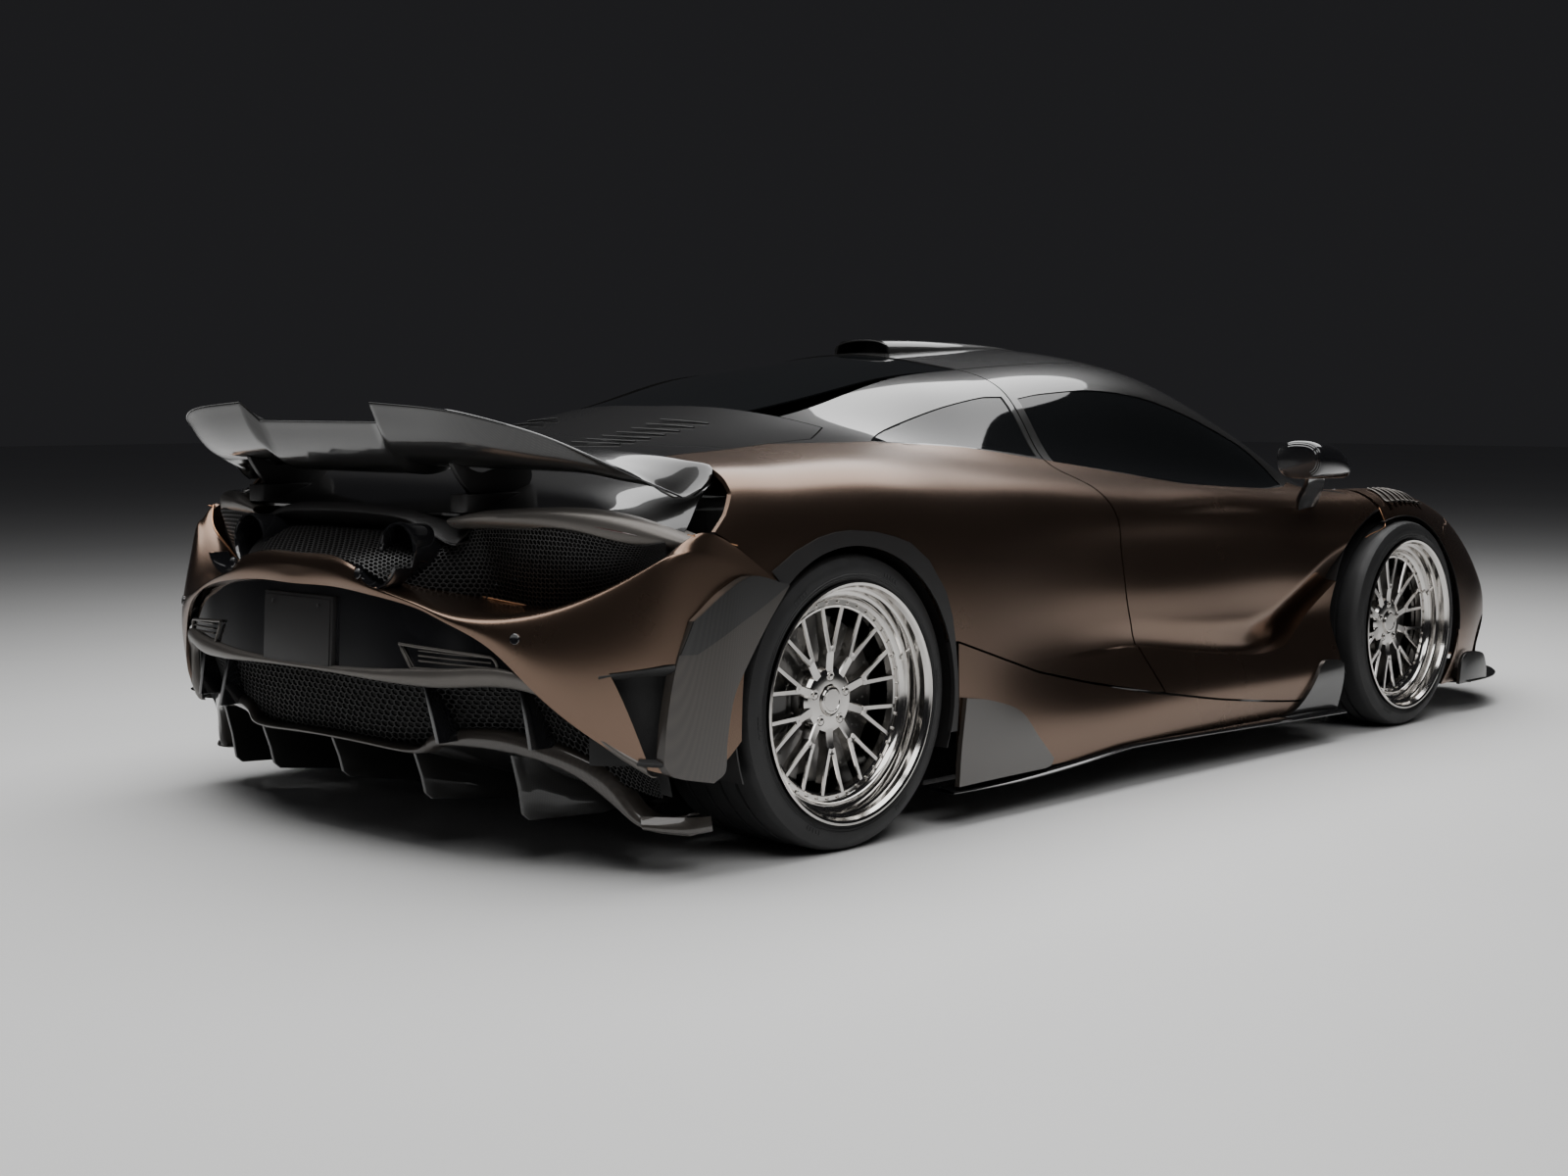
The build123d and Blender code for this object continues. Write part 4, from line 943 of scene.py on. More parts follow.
def plate(name, outline, view, low, high, material, bevel=0.0015, segments=2):
    """A flat blade from an outline, its edges rounded."""
    o = prism(outline, view, low, high)
    with editing(o.data) as bm:
        bmesh.ops.dissolve_limit(bm, angle_limit=0.02, verts=bm.verts, edges=bm.edges)
        edges = [e for e in bm.edges if len(e.link_faces) == 2 and e.calc_face_angle(0) > 0.6]
        bmesh.ops.bevel(bm, geom=edges, offset=bevel, segments=segments, profile=0.6, affect="EDGES")
        bmesh.ops.triangulate(bm, faces=[f for f in bm.faces if len(f.verts) > 4])
        bmesh.ops.recalc_face_normals(bm, faces=bm.faces)
        for f in bm.faces:
            f.material_index = 0
    o.name = name
    set_materials(o.data, [material])
    soften(o, 30)
    return o


def merge(name, *objects):
    """One object from several, keeping their materials."""
    base = objects[0]
    slots = []
    bm = bmesh.new()
    for o in objects:
        start = len(bm.faces)
        bm.from_mesh(o.data)
        bm.faces.ensure_lookup_table()
        local = []
        for m in o.data.materials:
            if m not in slots:
                slots.append(m)
            local.append(slots.index(m))
        for f in bm.faces[start:]:
            f.material_index = local[min(f.material_index, len(local) - 1)]
    bm.to_mesh(base.data)
    bm.free()
    base.data.materials.clear()
    for m in slots:
        base.data.materials.append(m)
    drop(*objects[1:])
    base.name = name
    return base


def pair(o):
    """The piece joined with its mirror image."""
    return merge(o.name, o, reflected(o))


def lathe(name, profile, origin, axis, material, n=48, sharp=35):
    """A turned solid: profile of (distance along the axis, radius), closed by itself."""
    axis = Vector(axis).normalized()
    a = axis.orthogonal().normalized()
    b = axis.cross(a)
    origin = Vector(origin)
    verts = []
    for i in range(n):
        c = math.tau * i / n
        verts += [origin + axis * s + (a * math.cos(c) + b * math.sin(c)) * r for s, r in profile]
    return fix_normals(piece(name, verts, ring_faces(n, len(profile), closed=True), material, sharp))


def honeycomb(name, surface, cells_u, cells_v, wall, depth, material):
    """A hexagonal mesh laid on a surface: surface(u, v) gives a point and its outward normal, u and v from 0 to 1."""
    verts, faces = [], []
    du, dv = 1.0 / cells_u, 1.0 / cells_v

    def ring(cu, cv, scale):
        return [(cu + scale * du * 0.5 * math.cos(math.tau * k / 6 + math.pi / 6) * 1.1547,
                 cv + scale * dv * 0.6667 * math.sin(math.tau * k / 6 + math.pi / 6)) for k in range(6)]

    for j in range(cells_v + 1):
        for i in range(cells_u + 1):
            cu, cv = (i + 0.5 * (j % 2)) * du, j * dv
            if cu > 1 + du or not -0.01 < cv < 1.01:
                continue
            base = len(verts)
            for scale, back in ((1.0, 0.0), (1.0 - wall, 0.0), (1.0 - wall, depth), (1.0, depth)):
                for u, v in ring(cu, cv, scale):
                    p, n = surface(min(max(u, 0), 1), min(max(v, 0), 1))
                    verts.append(p - n * back)
            for k in range(6):
                m = (k + 1) % 6
                for a, b in ((0, 1), (1, 2), (2, 3), (3, 0)):
                    faces.append((base + a * 6 + k, base + a * 6 + m, base + b * 6 + m, base + b * 6 + k))
    return fix_normals(piece(name, verts, faces, material, 20))


def surface_of(rows, mirror=True):
    """A function that reads a smooth surface through rows of (station, width, height)."""
    rows = np.array([world(row) for row in rows])
    if mirror:
        rows = full_width(rows)
    grid = patch_points(rows, 161, 41)
    n = grid_normals(grid)
    if np.sum(n * (grid - np.array((0, 0, 0.4)))) < 0:
        n = -n

    def read(u, v):
        i, j = v * 40, u * 160
        a, b = int(min(i, 39)), int(min(j, 159))
        p, q = i - a, j - b

        def blend(g):
            return (
                g[a, b] * (1 - p) * (1 - q) + g[a + 1, b] * p * (1 - q) + g[a, b + 1] * (1 - p) * q
                + g[a + 1, b + 1] * p * q
            )

        return blend(grid), blend(n)

    return read


# ------------------------------------------------------------------ rear bumper
BUMPER = [
    [
        (-.845, 0, .690), (-.857, 0, .682), (-.864, 0, .668), (-.865, 0, .655), (-.865, 0, .638),
        (-.862, 0, .620)
    ],
    [
        (-.843, .14, .688), (-.855, .14, .680), (-.862, .14, .665), (-.864, .14, .652), (-.863, .14, .636),
        (-.858, .14, .621)
    ],
    [
        (-.825, .28, .650), (-.843, .28, .645), (-.853, .28, .637), (-.857, .28, .630), (-.857, .28, .622),
        (-.853, .28, .610)
    ],
    [
        (-.640, .41, .600), (-.74, .41, .603), (-.80, .41, .603), (-.823, .41, .600), (-.83, .41, .596),
        (-.828, .41, .588)
    ],
    [
        (-.596, .50, .584), (-.69, .50, .584), (-.765, .50, .582), (-.800, .50, .576), (-.81, .50, .567),
        (-.809, .50, .557)
    ],
    [
        (-.560, .60, .578), (-.64, .60, .580), (-.72, .60, .578), (-.762, .60, .565), (-.775, .60, .535),
        (-.770, .60, .505)
    ],
    [
        (-.537, .70, .598), (-.59, .70, .600), (-.655, .70, .596), (-.705, .70, .578), (-.728, .70, .49),
        (-.718, .70, .405)
    ],
    [
        (-.523, .80, .650), (-.555, .80, .648), (-.60, .80, .640), (-.638, .80, .615), (-.665, .80, .48),
        (-.650, .80, .315)
    ],
    [
        (-.515, .88, .700), (-.53, .88, .698), (-.555, .88, .688), (-.580, .88, .66), (-.605, .88, .48),
        (-.575, .88, .253)
    ],
    [
        (-.48, .935, .754), (-.495, .935, .742), (-.512, .935, .72), (-.525, .935, .68), (-.535, .935, .48),
        (-.52, .935, .24)
    ],
    [
        (-.40, .957, .735), (-.40, .957, .725), (-.41, .957, .70), (-.42, .957, .65), (-.44, .957, .48),
        (-.45, .957, .24)
    ],
    [
        (-.262, .965, .645), (-.29, .965, .64), (-.32, .965, .62), (-.33, .965, .57), (-.36, .965, .46),
        (-.37, .965, .30)
    ]
]
pipe_room = both(
    solid(
        *rod(Vector((REAR_AXLE - 1.0, -0.294, 0.703)), Vector((REAR_AXLE - 0.60, -0.294, 0.703)), 0.076, 48)
    )
)
duct_room = both(
    side_cutter([(-.640, .462), (-.560, .480), (-.47, .486), (-.47, .262), (-.575, .268)], 0.78, 1.1)
)
bumper = patch(
    "bumper", columns(*BUMPER), 0.008, 181, 41, list(PANEL_FINISH), mirror=True, centre=(-1.9, 0, 0.45)
)
bumper = carve("rear_bumper_skin", bumper, [], [rear_arch, pipe_room, duct_room])
for v in bumper.data.vertices:
    v.co.x = max(v.co.x, REAR_AXLE - 0.8648)
place(bumper, "body", "bronze_paint", "rear_bumper")

def width_at(t, z):
    """Half width of the body's side at a station and height."""
    i = int(
        np.clip(
            round((REAR_AXLE + t - outer[0, 0, 0]) / (outer[1, 0, 0] - outer[0, 0, 0])), 0, len(outer) - 1
        )
    )
    row = outer[i, :90]
    return float(np.interp(z, row[:, 2], -row[:, 1]))


# Thin copper tubes along the bumper's top edge, the door's rear edge and the tail corner: painted highlight lines where
# these edges catch the light.
edges = []
top_line = cubic(range(7), [column[0] for column in BUMPER[3:10]], np.linspace(0, 6, 70))
low_line = cubic(range(5), [column[5] for column in BUMPER[5:10]], np.linspace(0, 4, 50))
edges.append(tube("line", world([(t - .0015, w, z + .0005) for t, w, z in top_line]), .0017, "edge", 6))
door_line = [(2.556, .700), (2.558, .670), (2.554, .640), (2.50, .624), (2.458, .610)]
edges.append(
    tube(
        "line",
        world(
            [
                (t + .006, width_at(t, z) + .0005, z)
                for t, z in cubic(range(5), door_line, np.linspace(0, 4, 40))
            ]
        ),
        .0015, "edge", 6
    )
)
corner = [(-.372, .727), (-.44, .742), (-.50, .755)]
edges.append(
    tube(
        "line", world([(t, np.interp(-t, [.37, .44, .50], [.953, .948, .930]) + .002, z) for t, z in corner]),
        .0012, "edge", 6
    )
)
place(pair(merge("copper_edge_lines", *edges)), "body", "bronze_paint", "rear_bumper")
sensors = []
for w, t, z in ((.655, -.747, .530), (.25, -.857, .655)):
    for side in (1, -1):
        sensors.append(
            lathe(
                "sensor", [(0, 0), (0, .0125), (.006, .0120), (.0075, .0105), (.0065, .0085), (.0055, 0)],
                (REAR_AXLE + t + .002, -w * side, z), (-1, -.45 * side * (w > .5), .1), "gloss_black", 28
            )
        )
place(merge("parking_sensors", *sensors), "body", "black_plastic", "rear_bumper")

# Panel behind the number plate, between the bumper's arch and the grey band.
arch_row = [
    (-.838, 0, .616), (-.836, .14, .616), (-.830, .28, .605), (-.806, .41, .582), (-.786, .50, .552),
    (-.748, .60, .500), (-.700, .69, .425)
]
band_top = [
    (-.846, 0, .432), (-.845, .14, .434), (-.838, .28, .438), (-.815, .41, .444), (-.790, .50, .447),
    (-.755, .60, .450), (-.706, .69, .420)
]
place(
    patch(
        "plate_panel", [arch_row, band_top], 0.012, 101, 15, "gloss_black", mirror=True,
        centre=(-1.9, 0, 0.45)
    ),
    "body", "black_plastic", "rear_fascia"
)
band = patch("grey_band", columns(
    [(-.830, 0, .437), (-.860, 0, .435), (-.860, 0, .426), (-.835, 0, .420)],
    [(-.830, .14, .438), (-.858, .14, .437), (-.858, .14, .425), (-.832, .14, .419)],
    [(-.820, .28, .443), (-.851, .28, .441), (-.850, .28, .421), (-.822, .28, .415)],
    [(-.800, .40, .450), (-.830, .40, .447), (-.828, .40, .418), (-.800, .40, .412)],
    [(-.775, .50, .456), (-.806, .50, .453), (-.802, .50, .421), (-.775, .50, .414)],
    [(-.735, .60, .462), (-.768, .60, .459), (-.762, .60, .428), (-.735, .60, .420)],
    [(-.690, .69, .446), (-.718, .69, .440), (-.712, .69, .410), (-.688, .69, .400)],
    [(-.655, .75, .395), (-.683, .75, .388), (-.674, .75, .360), (-.650, .75, .350)],
    [(-.610, .82, .316), (-.635, .82, .310), (-.624, .82, .290), (-.60, .82, .280)],
    [(-.560, .885, .262), (-.578, .885, .256), (-.570, .885, .238), (-.55, .885, .232)],
), 0.003, 161, 13, "satin_grey", mirror=True, centre=(-1.9, 0, 0.43))
place(band, "body", "black_plastic", "rear_fascia")

# Open mesh below the band, with a dark wall behind it: painted shade of the space behind the mesh.
MESH_ROWS = [
    [
        (-.800, 0, .425), (-.795, .20, .423), (-.770, .40, .418), (-.715, .58, .420), (-.66, .69, .395),
        (-.595, .80, .300), (-.54, .87, .24)
    ],
    [
        (-.780, 0, .34), (-.775, .20, .338), (-.745, .40, .345), (-.69, .58, .355), (-.64, .69, .345),
        (-.58, .80, .27), (-.53, .87, .22)
    ],
    [
        (-.745, 0, .250), (-.74, .20, .248), (-.715, .40, .272), (-.66, .58, .285), (-.61, .69, .25),
        (-.55, .80, .20), (-.52, .87, .18)
    ]
]
place(
    honeycomb("lower_mesh", surface_of(MESH_ROWS), 110, 13, 0.16, 0.006, "matte_black"), "body",
    "black_plastic", "rear_fascia"
)
shade_sheet_rows = [[(t + 0.03, w, z) for t, w, z in row] for row in MESH_ROWS]
place(
    patch("lower_mesh_back", shade_sheet_rows, 0.004, 61, 9, "matte_black", mirror=True, centre=(-1.7, 0, 0.3)),
    "body", "black_plastic", "rear_fascia"
)
walls = []
for w0, w1 in ((0.385, 0.43), (0.62, 0.65)):
    t0 = np.interp((w0 + w1) / 2, [0, .4, .58, .69], [-.81, -.775, -.72, -.665])
    walls.append(
        plate(
            "wall", [(w0, .415), (w0 + 0.012, .415), (w1 + 0.012, .285), (w1, .285)], "behind", t0 - 0.016,
            t0 + 0.05, "gloss_black"
        )
    )
place(pair(merge("intake_walls", *walls)), "body", "black_plastic", "rear_fascia")

# Blank number plate, its holder and the two reflector recesses.
def leaning(name, outline, lean_at, offset, depth, material, bevel=0.002):
    """A flat piece lying on the panel behind the plate; outline is (width, height)."""
    o = plate(name, outline, "behind", 0, depth, material, bevel)
    for v in o.data.vertices:
        z = v.co.z
        w = abs(v.co.y)
        t = np.interp(
            z, [.432, .60],
            [
                np.interp(w, [0, .14, .28, .41, .5, .6], [-.846, -.845, -.838, -.815, -.79, -.755]),
                np.interp(w, [0, .14, .28, .41, .5, .6], [-.838, -.836, -.829, -.806, -.775, -.73])
            ]
        )
        v.co.x += t + offset
    return o


plate_shape = rounded([(-.13, .425), (.13, .425), (.13, .590), (-.13, .590)], steps=1)
holder = leaning(
    "plate_holder", [(-.136, .424), (.136, .424), (.136, .596), (-.136, .596)], 0, -0.012, 0.014,
    "satin_black"
)
blank = leaning(
    "plate_blank", [(-.129, .428), (.129, .428), (.129, .588), (-.129, .588)], 0, -0.0145, 0.003,
    "gloss_black"
)
screws = [
    tube("screw", world([(-.861, w, .574), (-.8565, w, .574)]), 0.004, "aluminium", 12) for w in (-.09, .09)
]
for s in screws:
    s.data.transform(Matrix.Translation((0.002, 0, 0)))
place(merge("number_plate", holder, blank, *screws), "body", "black_plastic", "rear_fascia")
slot_line = [(.357, .504), (.590, .487), (.604, .470), (.598, .453), (.392, .451)]
frames = []
for shape, offset, radius in (
    (slot_line, -0.006, 0.0032), ([(w * 0.96 + .02, z * 0.9 + .048) for w, z in slot_line], -0.003, 0.0015)
):
    ring = []
    for w, z in rounded(shape, steps=5, keep=(0, 4)):
        t = np.interp(w, [.28, .41, .5, .6, .69], [-.838, -.815, -.79, -.752, -.70]) + offset
        ring.append((t, w, z))
    frames.append(tube("ring", world(ring), radius, "satin_grey", 8, closed=True))
slats = []
for k in range(3):
    z = .462 + k * .0115
    line = [
        (
            np.interp(w, [.28, .41, .5, .6, .69], [-.838, -.815, -.79, -.752, -.70]) - 0.002, w,
            z + (.6 - w) * .04
        )
        for w in np.linspace(.41, .588, 12)
    ]
    slats.append(tube("slat", world(line), 0.0022, "gloss_black", 6))
place(pair(merge("reflector_frames", *frames, *slats)), "body", "black_plastic", "rear_fascia")

# ------------------------------------------------------------------ tail: mesh, arcs, visor, deck
TAIL_MESH = [
    [
        (-.700, 0, .742), (-.700, .20, .740), (-.690, .33, .735), (-.668, .42, .752), (-.655, .52, .762),
        (-.640, .632, .762), (-.592, .722, .748), (-.535, .80, .728), (-.50, .86, .735)
    ],
    [
        (-.770, 0, .715), (-.77, .20, .712), (-.755, .33, .68), (-.655, .42, .68), (-.630, .52, .672),
        (-.605, .632, .67), (-.565, .722, .675), (-.52, .80, .69), (-.495, .86, .715)
    ],
    [
        (-.842, 0, .684), (-.838, .20, .676), (-.780, .33, .612), (-.640, .42, .592), (-.590, .52, .578),
        (-.552, .632, .580), (-.530, .722, .602), (-.512, .80, .648), (-.495, .86, .688)
    ]
]
place(
    honeycomb("tail_mesh", surface_of(TAIL_MESH), 170, 17, 0.2, 0.006, "satin_black"), "body",
    "black_plastic", "rear_grille"
)
# A matte black sheet just behind the tail mesh: painted shade of the space behind it.
back = [[(t + 0.025, w, z - 0.004) for t, w, z in row] for row in TAIL_MESH]
place(
    patch("tail_mesh_back", back, 0.004, 81, 9, "matte_black", mirror=True, centre=(-1.7, 0, 0.6)), "body",
    "black_plastic", "rear_grille"
)
arcs = patch("tail_arcs", columns(
    [(-.650, .385, .782), (-.712, .385, .776), (-.700, .385, .757), (-.66, .385, .752)],
    [(-.630, .46, .796), (-.700, .46, .788), (-.690, .46, .762), (-.65, .46, .756)],
    [(-.610, .53, .802), (-.680, .53, .794), (-.672, .53, .764), (-.63, .53, .757)],
    [(-.575, .62, .806), (-.645, .62, .799), (-.642, .62, .763), (-.60, .62, .755)],
    [(-.530, .70, .804), (-.600, .70, .796), (-.600, .70, .752), (-.56, .70, .745)],
    [(-.475, .79, .786), (-.538, .79, .776), (-.538, .79, .730), (-.50, .79, .722)],
    [(-.420, .87, .752), (-.470, .87, .742), (-.47, .87, .722), (-.44, .87, .715)],
    [(-.39, .90, .738), (-.43, .90, .728), (-.43, .90, .718), (-.40, .90, .712)],
), 0.003, 61, 15, "satin_grey", centre=(REAR_AXLE - 0.5, -0.6, 0.74))
arcs.name = "tail_light_arcs"
place(pair(arcs), "body", "lamp_red", "tail_lights")
strips = []
for side in (1, -1):
    line = [
        (-.706, .40, .7665), (-.694, .46, .774), (-.679, .53, .778), (-.646, .62, .780), (-.603, .70, .773),
        (-.541, .79, .753), (-.473, .865, .733)
    ]
    curve = cubic(range(7), line, np.linspace(0, 6, 50))
    strips.append(tube("strip", world([(t - 0.0015, w * side, z) for t, w, z in curve]), 0.0028, "lamp", 8))
place(merge("tail_light_strips", *strips), "body", "lamp_red", "tail_lights")
visor = patch(
    "exhaust_visor",
    columns(
        [
            (-.600, 0, .800), (-.680, 0, .797), (-.722, 0, .786), (-.722, 0, .776), (-.690, 0, .752),
            (-.64, 0, .745)
        ],
        [
            (-.600, .15, .799), (-.680, .15, .796), (-.722, .15, .783), (-.722, .15, .773),
            (-.690, .15, .750), (-.64, .15, .744)
        ],
        [
            (-.600, .26, .797), (-.680, .26, .790), (-.720, .26, .772), (-.720, .26, .762),
            (-.688, .26, .745), (-.64, .26, .742)
        ],
        [
            (-.600, .34, .795), (-.670, .34, .775), (-.715, .34, .745), (-.715, .34, .736),
            (-.684, .34, .735), (-.64, .34, .738)
        ],
        [
            (-.620, .385, .785), (-.665, .385, .760), (-.712, .385, .728), (-.712, .385, .722),
            (-.684, .385, .727), (-.65, .385, .732)
        ],
        [
            (-.650, .41, .765), (-.680, .41, .745), (-.708, .41, .722), (-.708, .41, .718), (-.69, .41, .72),
            (-.67, .41, .725)
        ],
    ),
    0.004, 121, 31, "satin_black", mirror=True, centre=(REAR_AXLE - 0.60, 0, 0.77)
)
place(visor, "body", "black_plastic", "rear_grille")
tail_deck = patch("tail_deck", columns(
    [(-.25, 0, .930), (-.40, 0, .885), (-.56, 0, .832), (-.70, 0, .790)],
    [(-.25, .25, .922), (-.40, .25, .882), (-.56, .25, .832), (-.695, .25, .788)],
    [(-.25, .45, .908), (-.40, .45, .872), (-.54, .45, .832), (-.675, .45, .789)],
    [(-.25, .62, .896), (-.39, .62, .862), (-.50, .62, .830), (-.620, .62, .803)],
    [(-.27, .74, .888), (-.38, .74, .850), (-.46, .755, .812), (-.545, .76, .790)],
    [(-.29, .83, .872), (-.36, .84, .840), (-.41, .855, .79), (-.45, .865, .745)],
), 0.006, 121, 31, "carbon", mirror=True, centre=(REAR_AXLE - 0.2, 0, 0.3))
place(tail_deck, "body", "carbon", "engine_cover")
combs = []
for k in range(15):
    t = -.335 - k * 0.013
    w0 = .665 - k * 0.002
    combs.append(
        plate(
            "comb",
            [
                (w0, .868 - k * .006), (w0 + 0.16 - k * .001, .857 - k * .009),
                (w0 + 0.16 - k * .001, .845 - k * .009), (w0, .853 - k * .006)
            ],
            "behind", t, t + 0.004, "satin_black", 0.001, 1
        )
    )
place(pair(merge("deck_vents", *combs)), "body", "black_plastic", "engine_cover")

# ------------------------------------------------------------------ exhaust
pipe_axis = Vector((-1, 0, 0.03))
pipes = []
for w in (.294, -.294):
    start = (REAR_AXLE - .60, -w, .697)
    pipes.append(
        lathe(
            "pipe",
            [
                (0, .061), (.165, .064), (.178, .0665), (.186, .065), (.187, .061), (.181, .0575),
                (.16, .056), (.03, .053), (.03, .008), (0, .008)
            ],
            start, pipe_axis, "gloss_black", 64
        )
    )
    pipes.append(
        lathe("inner", [(.031, .048), (.12, .049), (.12, .0465), (.034, .0455)], start, pipe_axis, "iron", 48)
    )
    for k in range(5):
        pipes.append(
            lathe(
                "baffle",
                [
                    (.05 + k * .004, .009 + k * .008), (.052 + k * .004, .012 + k * .008),
                    (.05 + k * .004, .013 + k * .008)
                ],
                start, pipe_axis, "iron", 32
            )
        )
place(merge("exhaust_tips", *pipes), "body", "steel", "exhaust")
hoods = []
for w in (.294, -.294):
    hoods.append(
        lathe(
            "collar", [(0, .0755), (0, .080), (.010, .083), (.045, .0835), (.052, .0805), (.050, .0755)],
            (REAR_AXLE - .80, -w, .703), (-1, 0, 0), "gloss_black", 72
        )
    )
lower_half = prism([(-.45, .55), (.45, .55), (.45, .672), (-.45, .672)], "behind", -1.0, -.5)
collar = merge("collars", *hoods)
collar = carve("exhaust_surrounds", collar, [lower_half], [], ("gloss_black",) * 3)
place(collar, "body", "black_plastic", "rear_grille")

# ------------------------------------------------------------------ diffuser
LIP = [
    ((-.773, 0, .262), (-.773, 0, .252)), ((-.770, .15, .260), (-.770, .15, .249)),
    ((-.761, .305, .258), (-.761, .305, .246)), ((-.751, .353, .284), (-.752, .355, .262)),
    ((-.739, .409, .303), (-.739, .408, .274)), ((-.706, .539, .310), (-.700, .545, .272)),
    ((-.659, .649, .291), (-.656, .655, .250)), ((-.621, .713, .265), (-.615, .718, .215)),
    ((-.581, .774, .217), (-.575, .778, .160)), ((-.541, .824, .139), (-.537, .829, .112)),
    ((-.471, .889, .135), (-.471, .889, .098))
]
lip = patch(
    "diffuser_lip",
    columns(
        *[
            [
                (a[0] + .045, a[1], a[2] + .004), (a[0] + .004, a[1], a[2] + .001), (b[0], b[1], b[2]),
                (b[0] + .05, b[1], b[2] - .004)
            ]
            for a, b in LIP
        ]
    ),
    0.003, 161, 15, "carbon_satin", mirror=True, centre=(REAR_AXLE - .68, 0, .25)
)
place(lip, "body", "carbon", "diffuser")
tray = patch(
    "diffuser_tray",
    columns(
        *[
            [
                (b[0] + .035, b[1], b[2] - .003),
                (-.52 + max(b[0] + .6, 0) * .5, min(b[1], .86), (b[2] + .11) / 2),
                (-.30, min(b[1], .62) if b[1] < .7 else .62, .106)
            ]
            for a, b in LIP[:9]
        ]
    ),
    0.005, 101, 21, "carbon", mirror=True, centre=(REAR_AXLE - .5, 0, 1.2)
)
place(tray, "body", "carbon", "diffuser")
fins = []
for w, top, foot, reach in (
    (0, .252, .150, -.745), (.303, .246, .134, -.735), (.570, .262, .111, -.672), (-.303, .246, .134, -.735),
    (-.570, .262, .111, -.672)
):
    shape = [
        (reach - .018, top), (reach + .002, (top + foot) / 2), (reach + .012, foot + .015),
        (reach + .03, foot), (-.42, .098), (-.36, .110), (-.45, .16), (reach + .10, top - .012)
    ]
    fins.append(plate("fin", shape, "side", w - .005, w + .005, "carbon", 0.002))
place(merge("diffuser_fins", *fins), "body", "carbon", "diffuser")


def grid_at(t, w):
    """Height of the body's surface at a station and width, on its upper side."""
    i = int(
        np.clip(
            round((REAR_AXLE + t - outer[0, 0, 0]) / (outer[1, 0, 0] - outer[0, 0, 0])), 0, len(outer) - 1
        )
    )
    row = outer[i, 60:]
    order = np.argsort(-row[:, 1])
    return float(np.interp(w, -row[order, 1], row[order, 2]))


# ------------------------------------------------------------------ wing
# width, trailing edge, leading edge, how deep the underside is
WING = [
    (0.000, (-.790, .993), (-.500, .925), 1.0), (0.120, (-.790, .993), (-.500, .925), 1.0),
    (0.232, (-.791, .993), (-.500, .925), 1.0), (0.258, (-.827, 1.036), (-.500, .925), 1.0),
    (0.380, (-.815, 1.029), (-.490, .925), 0.98), (0.502, (-.800, 1.018), (-.470, .925), 0.93),
    (0.630, (-.740, .987), (-.432, .922), 0.80), (0.702, (-.662, .951), (-.402, .918), 0.66),
    (0.755, (-.575, .905), (-.375, .913), 0.52), (0.800, (-.490, .862), (-.350, .905), 0.38),
    (0.835, (-.420, .828), (-.330, .893), 0.22), (0.850, (-.385, .845), (-.345, .878), 0.12)
]
LOOP = [
    (0, .001), (.12, -.013), (.30, -.020), (.50, -.020), (.70, -.010), (.88, .002), (.97, .001), (1, -.006),
    (.98, -.014), (.90, -.034), (.76, -.062), (.60, -.084), (.42, -.092), (.26, -.080), (.13, -.050),
    (.05, -.022), (.01, -.008), (0, -.003)
]


def wing_mesh():
    stations, loops = [], []
    for w, trail, lead, deep in WING:
        chord = Vector((lead[0] - trail[0], lead[1] - trail[1]))
        across = Vector((-chord.y, chord.x)).normalized()
        row = []
        for u, v in LOOP:
            p = Vector(trail) + chord * u + across * (v * (deep if v < -.003 else 1))
            row.append((p.x, p.y))
        stations.append(w)
        loops.append(row)
    loops = np.array(loops)
    fine = np.r_[np.linspace(0, .232, 10), np.linspace(.236, .258, 6), np.linspace(.27, .85, 50)]
    inside = loops[:3]
    outside = loops[3:]
    rows = []
    for w in fine:
        if w <= .232:
            row = np.array(
                [[np.interp(w, stations[:3], inside[:, k, c]) for c in (0, 1)] for k in range(len(LOOP))]
            )
        elif w < .258:
            s = (w - .232) / .026
            row = inside[-1] * (1 - s) + outside[0] * s
        else:
            row = cubic(stations[3:], outside.transpose(0, 1, 2), [w])[0]
        dense = cubic(range(len(LOOP)), row, np.linspace(0, len(LOOP) - 1, 52))
        rows.append([(t, w, z) for t, z in dense])
    half = np.array([world(r) for r in rows])
    other = half[:0:-1].copy()
    other[..., 1] *= -1
    grid = np.concatenate([other, half])
    r, c = grid.shape[:2]
    verts = grid.reshape(-1, 3)
    faces = [
        (i * c + j, i * c + (j + 1) % c, (i + 1) * c + (j + 1) % c, (i + 1) * c + j) for i in range(r - 1)
        for j in range(c)
    ]
    faces += [tuple(range(c)), tuple(range((r - 1) * c, r * c))]
    return fix_normals(piece("rear_wing_blade", verts, faces, "carbon", 38))


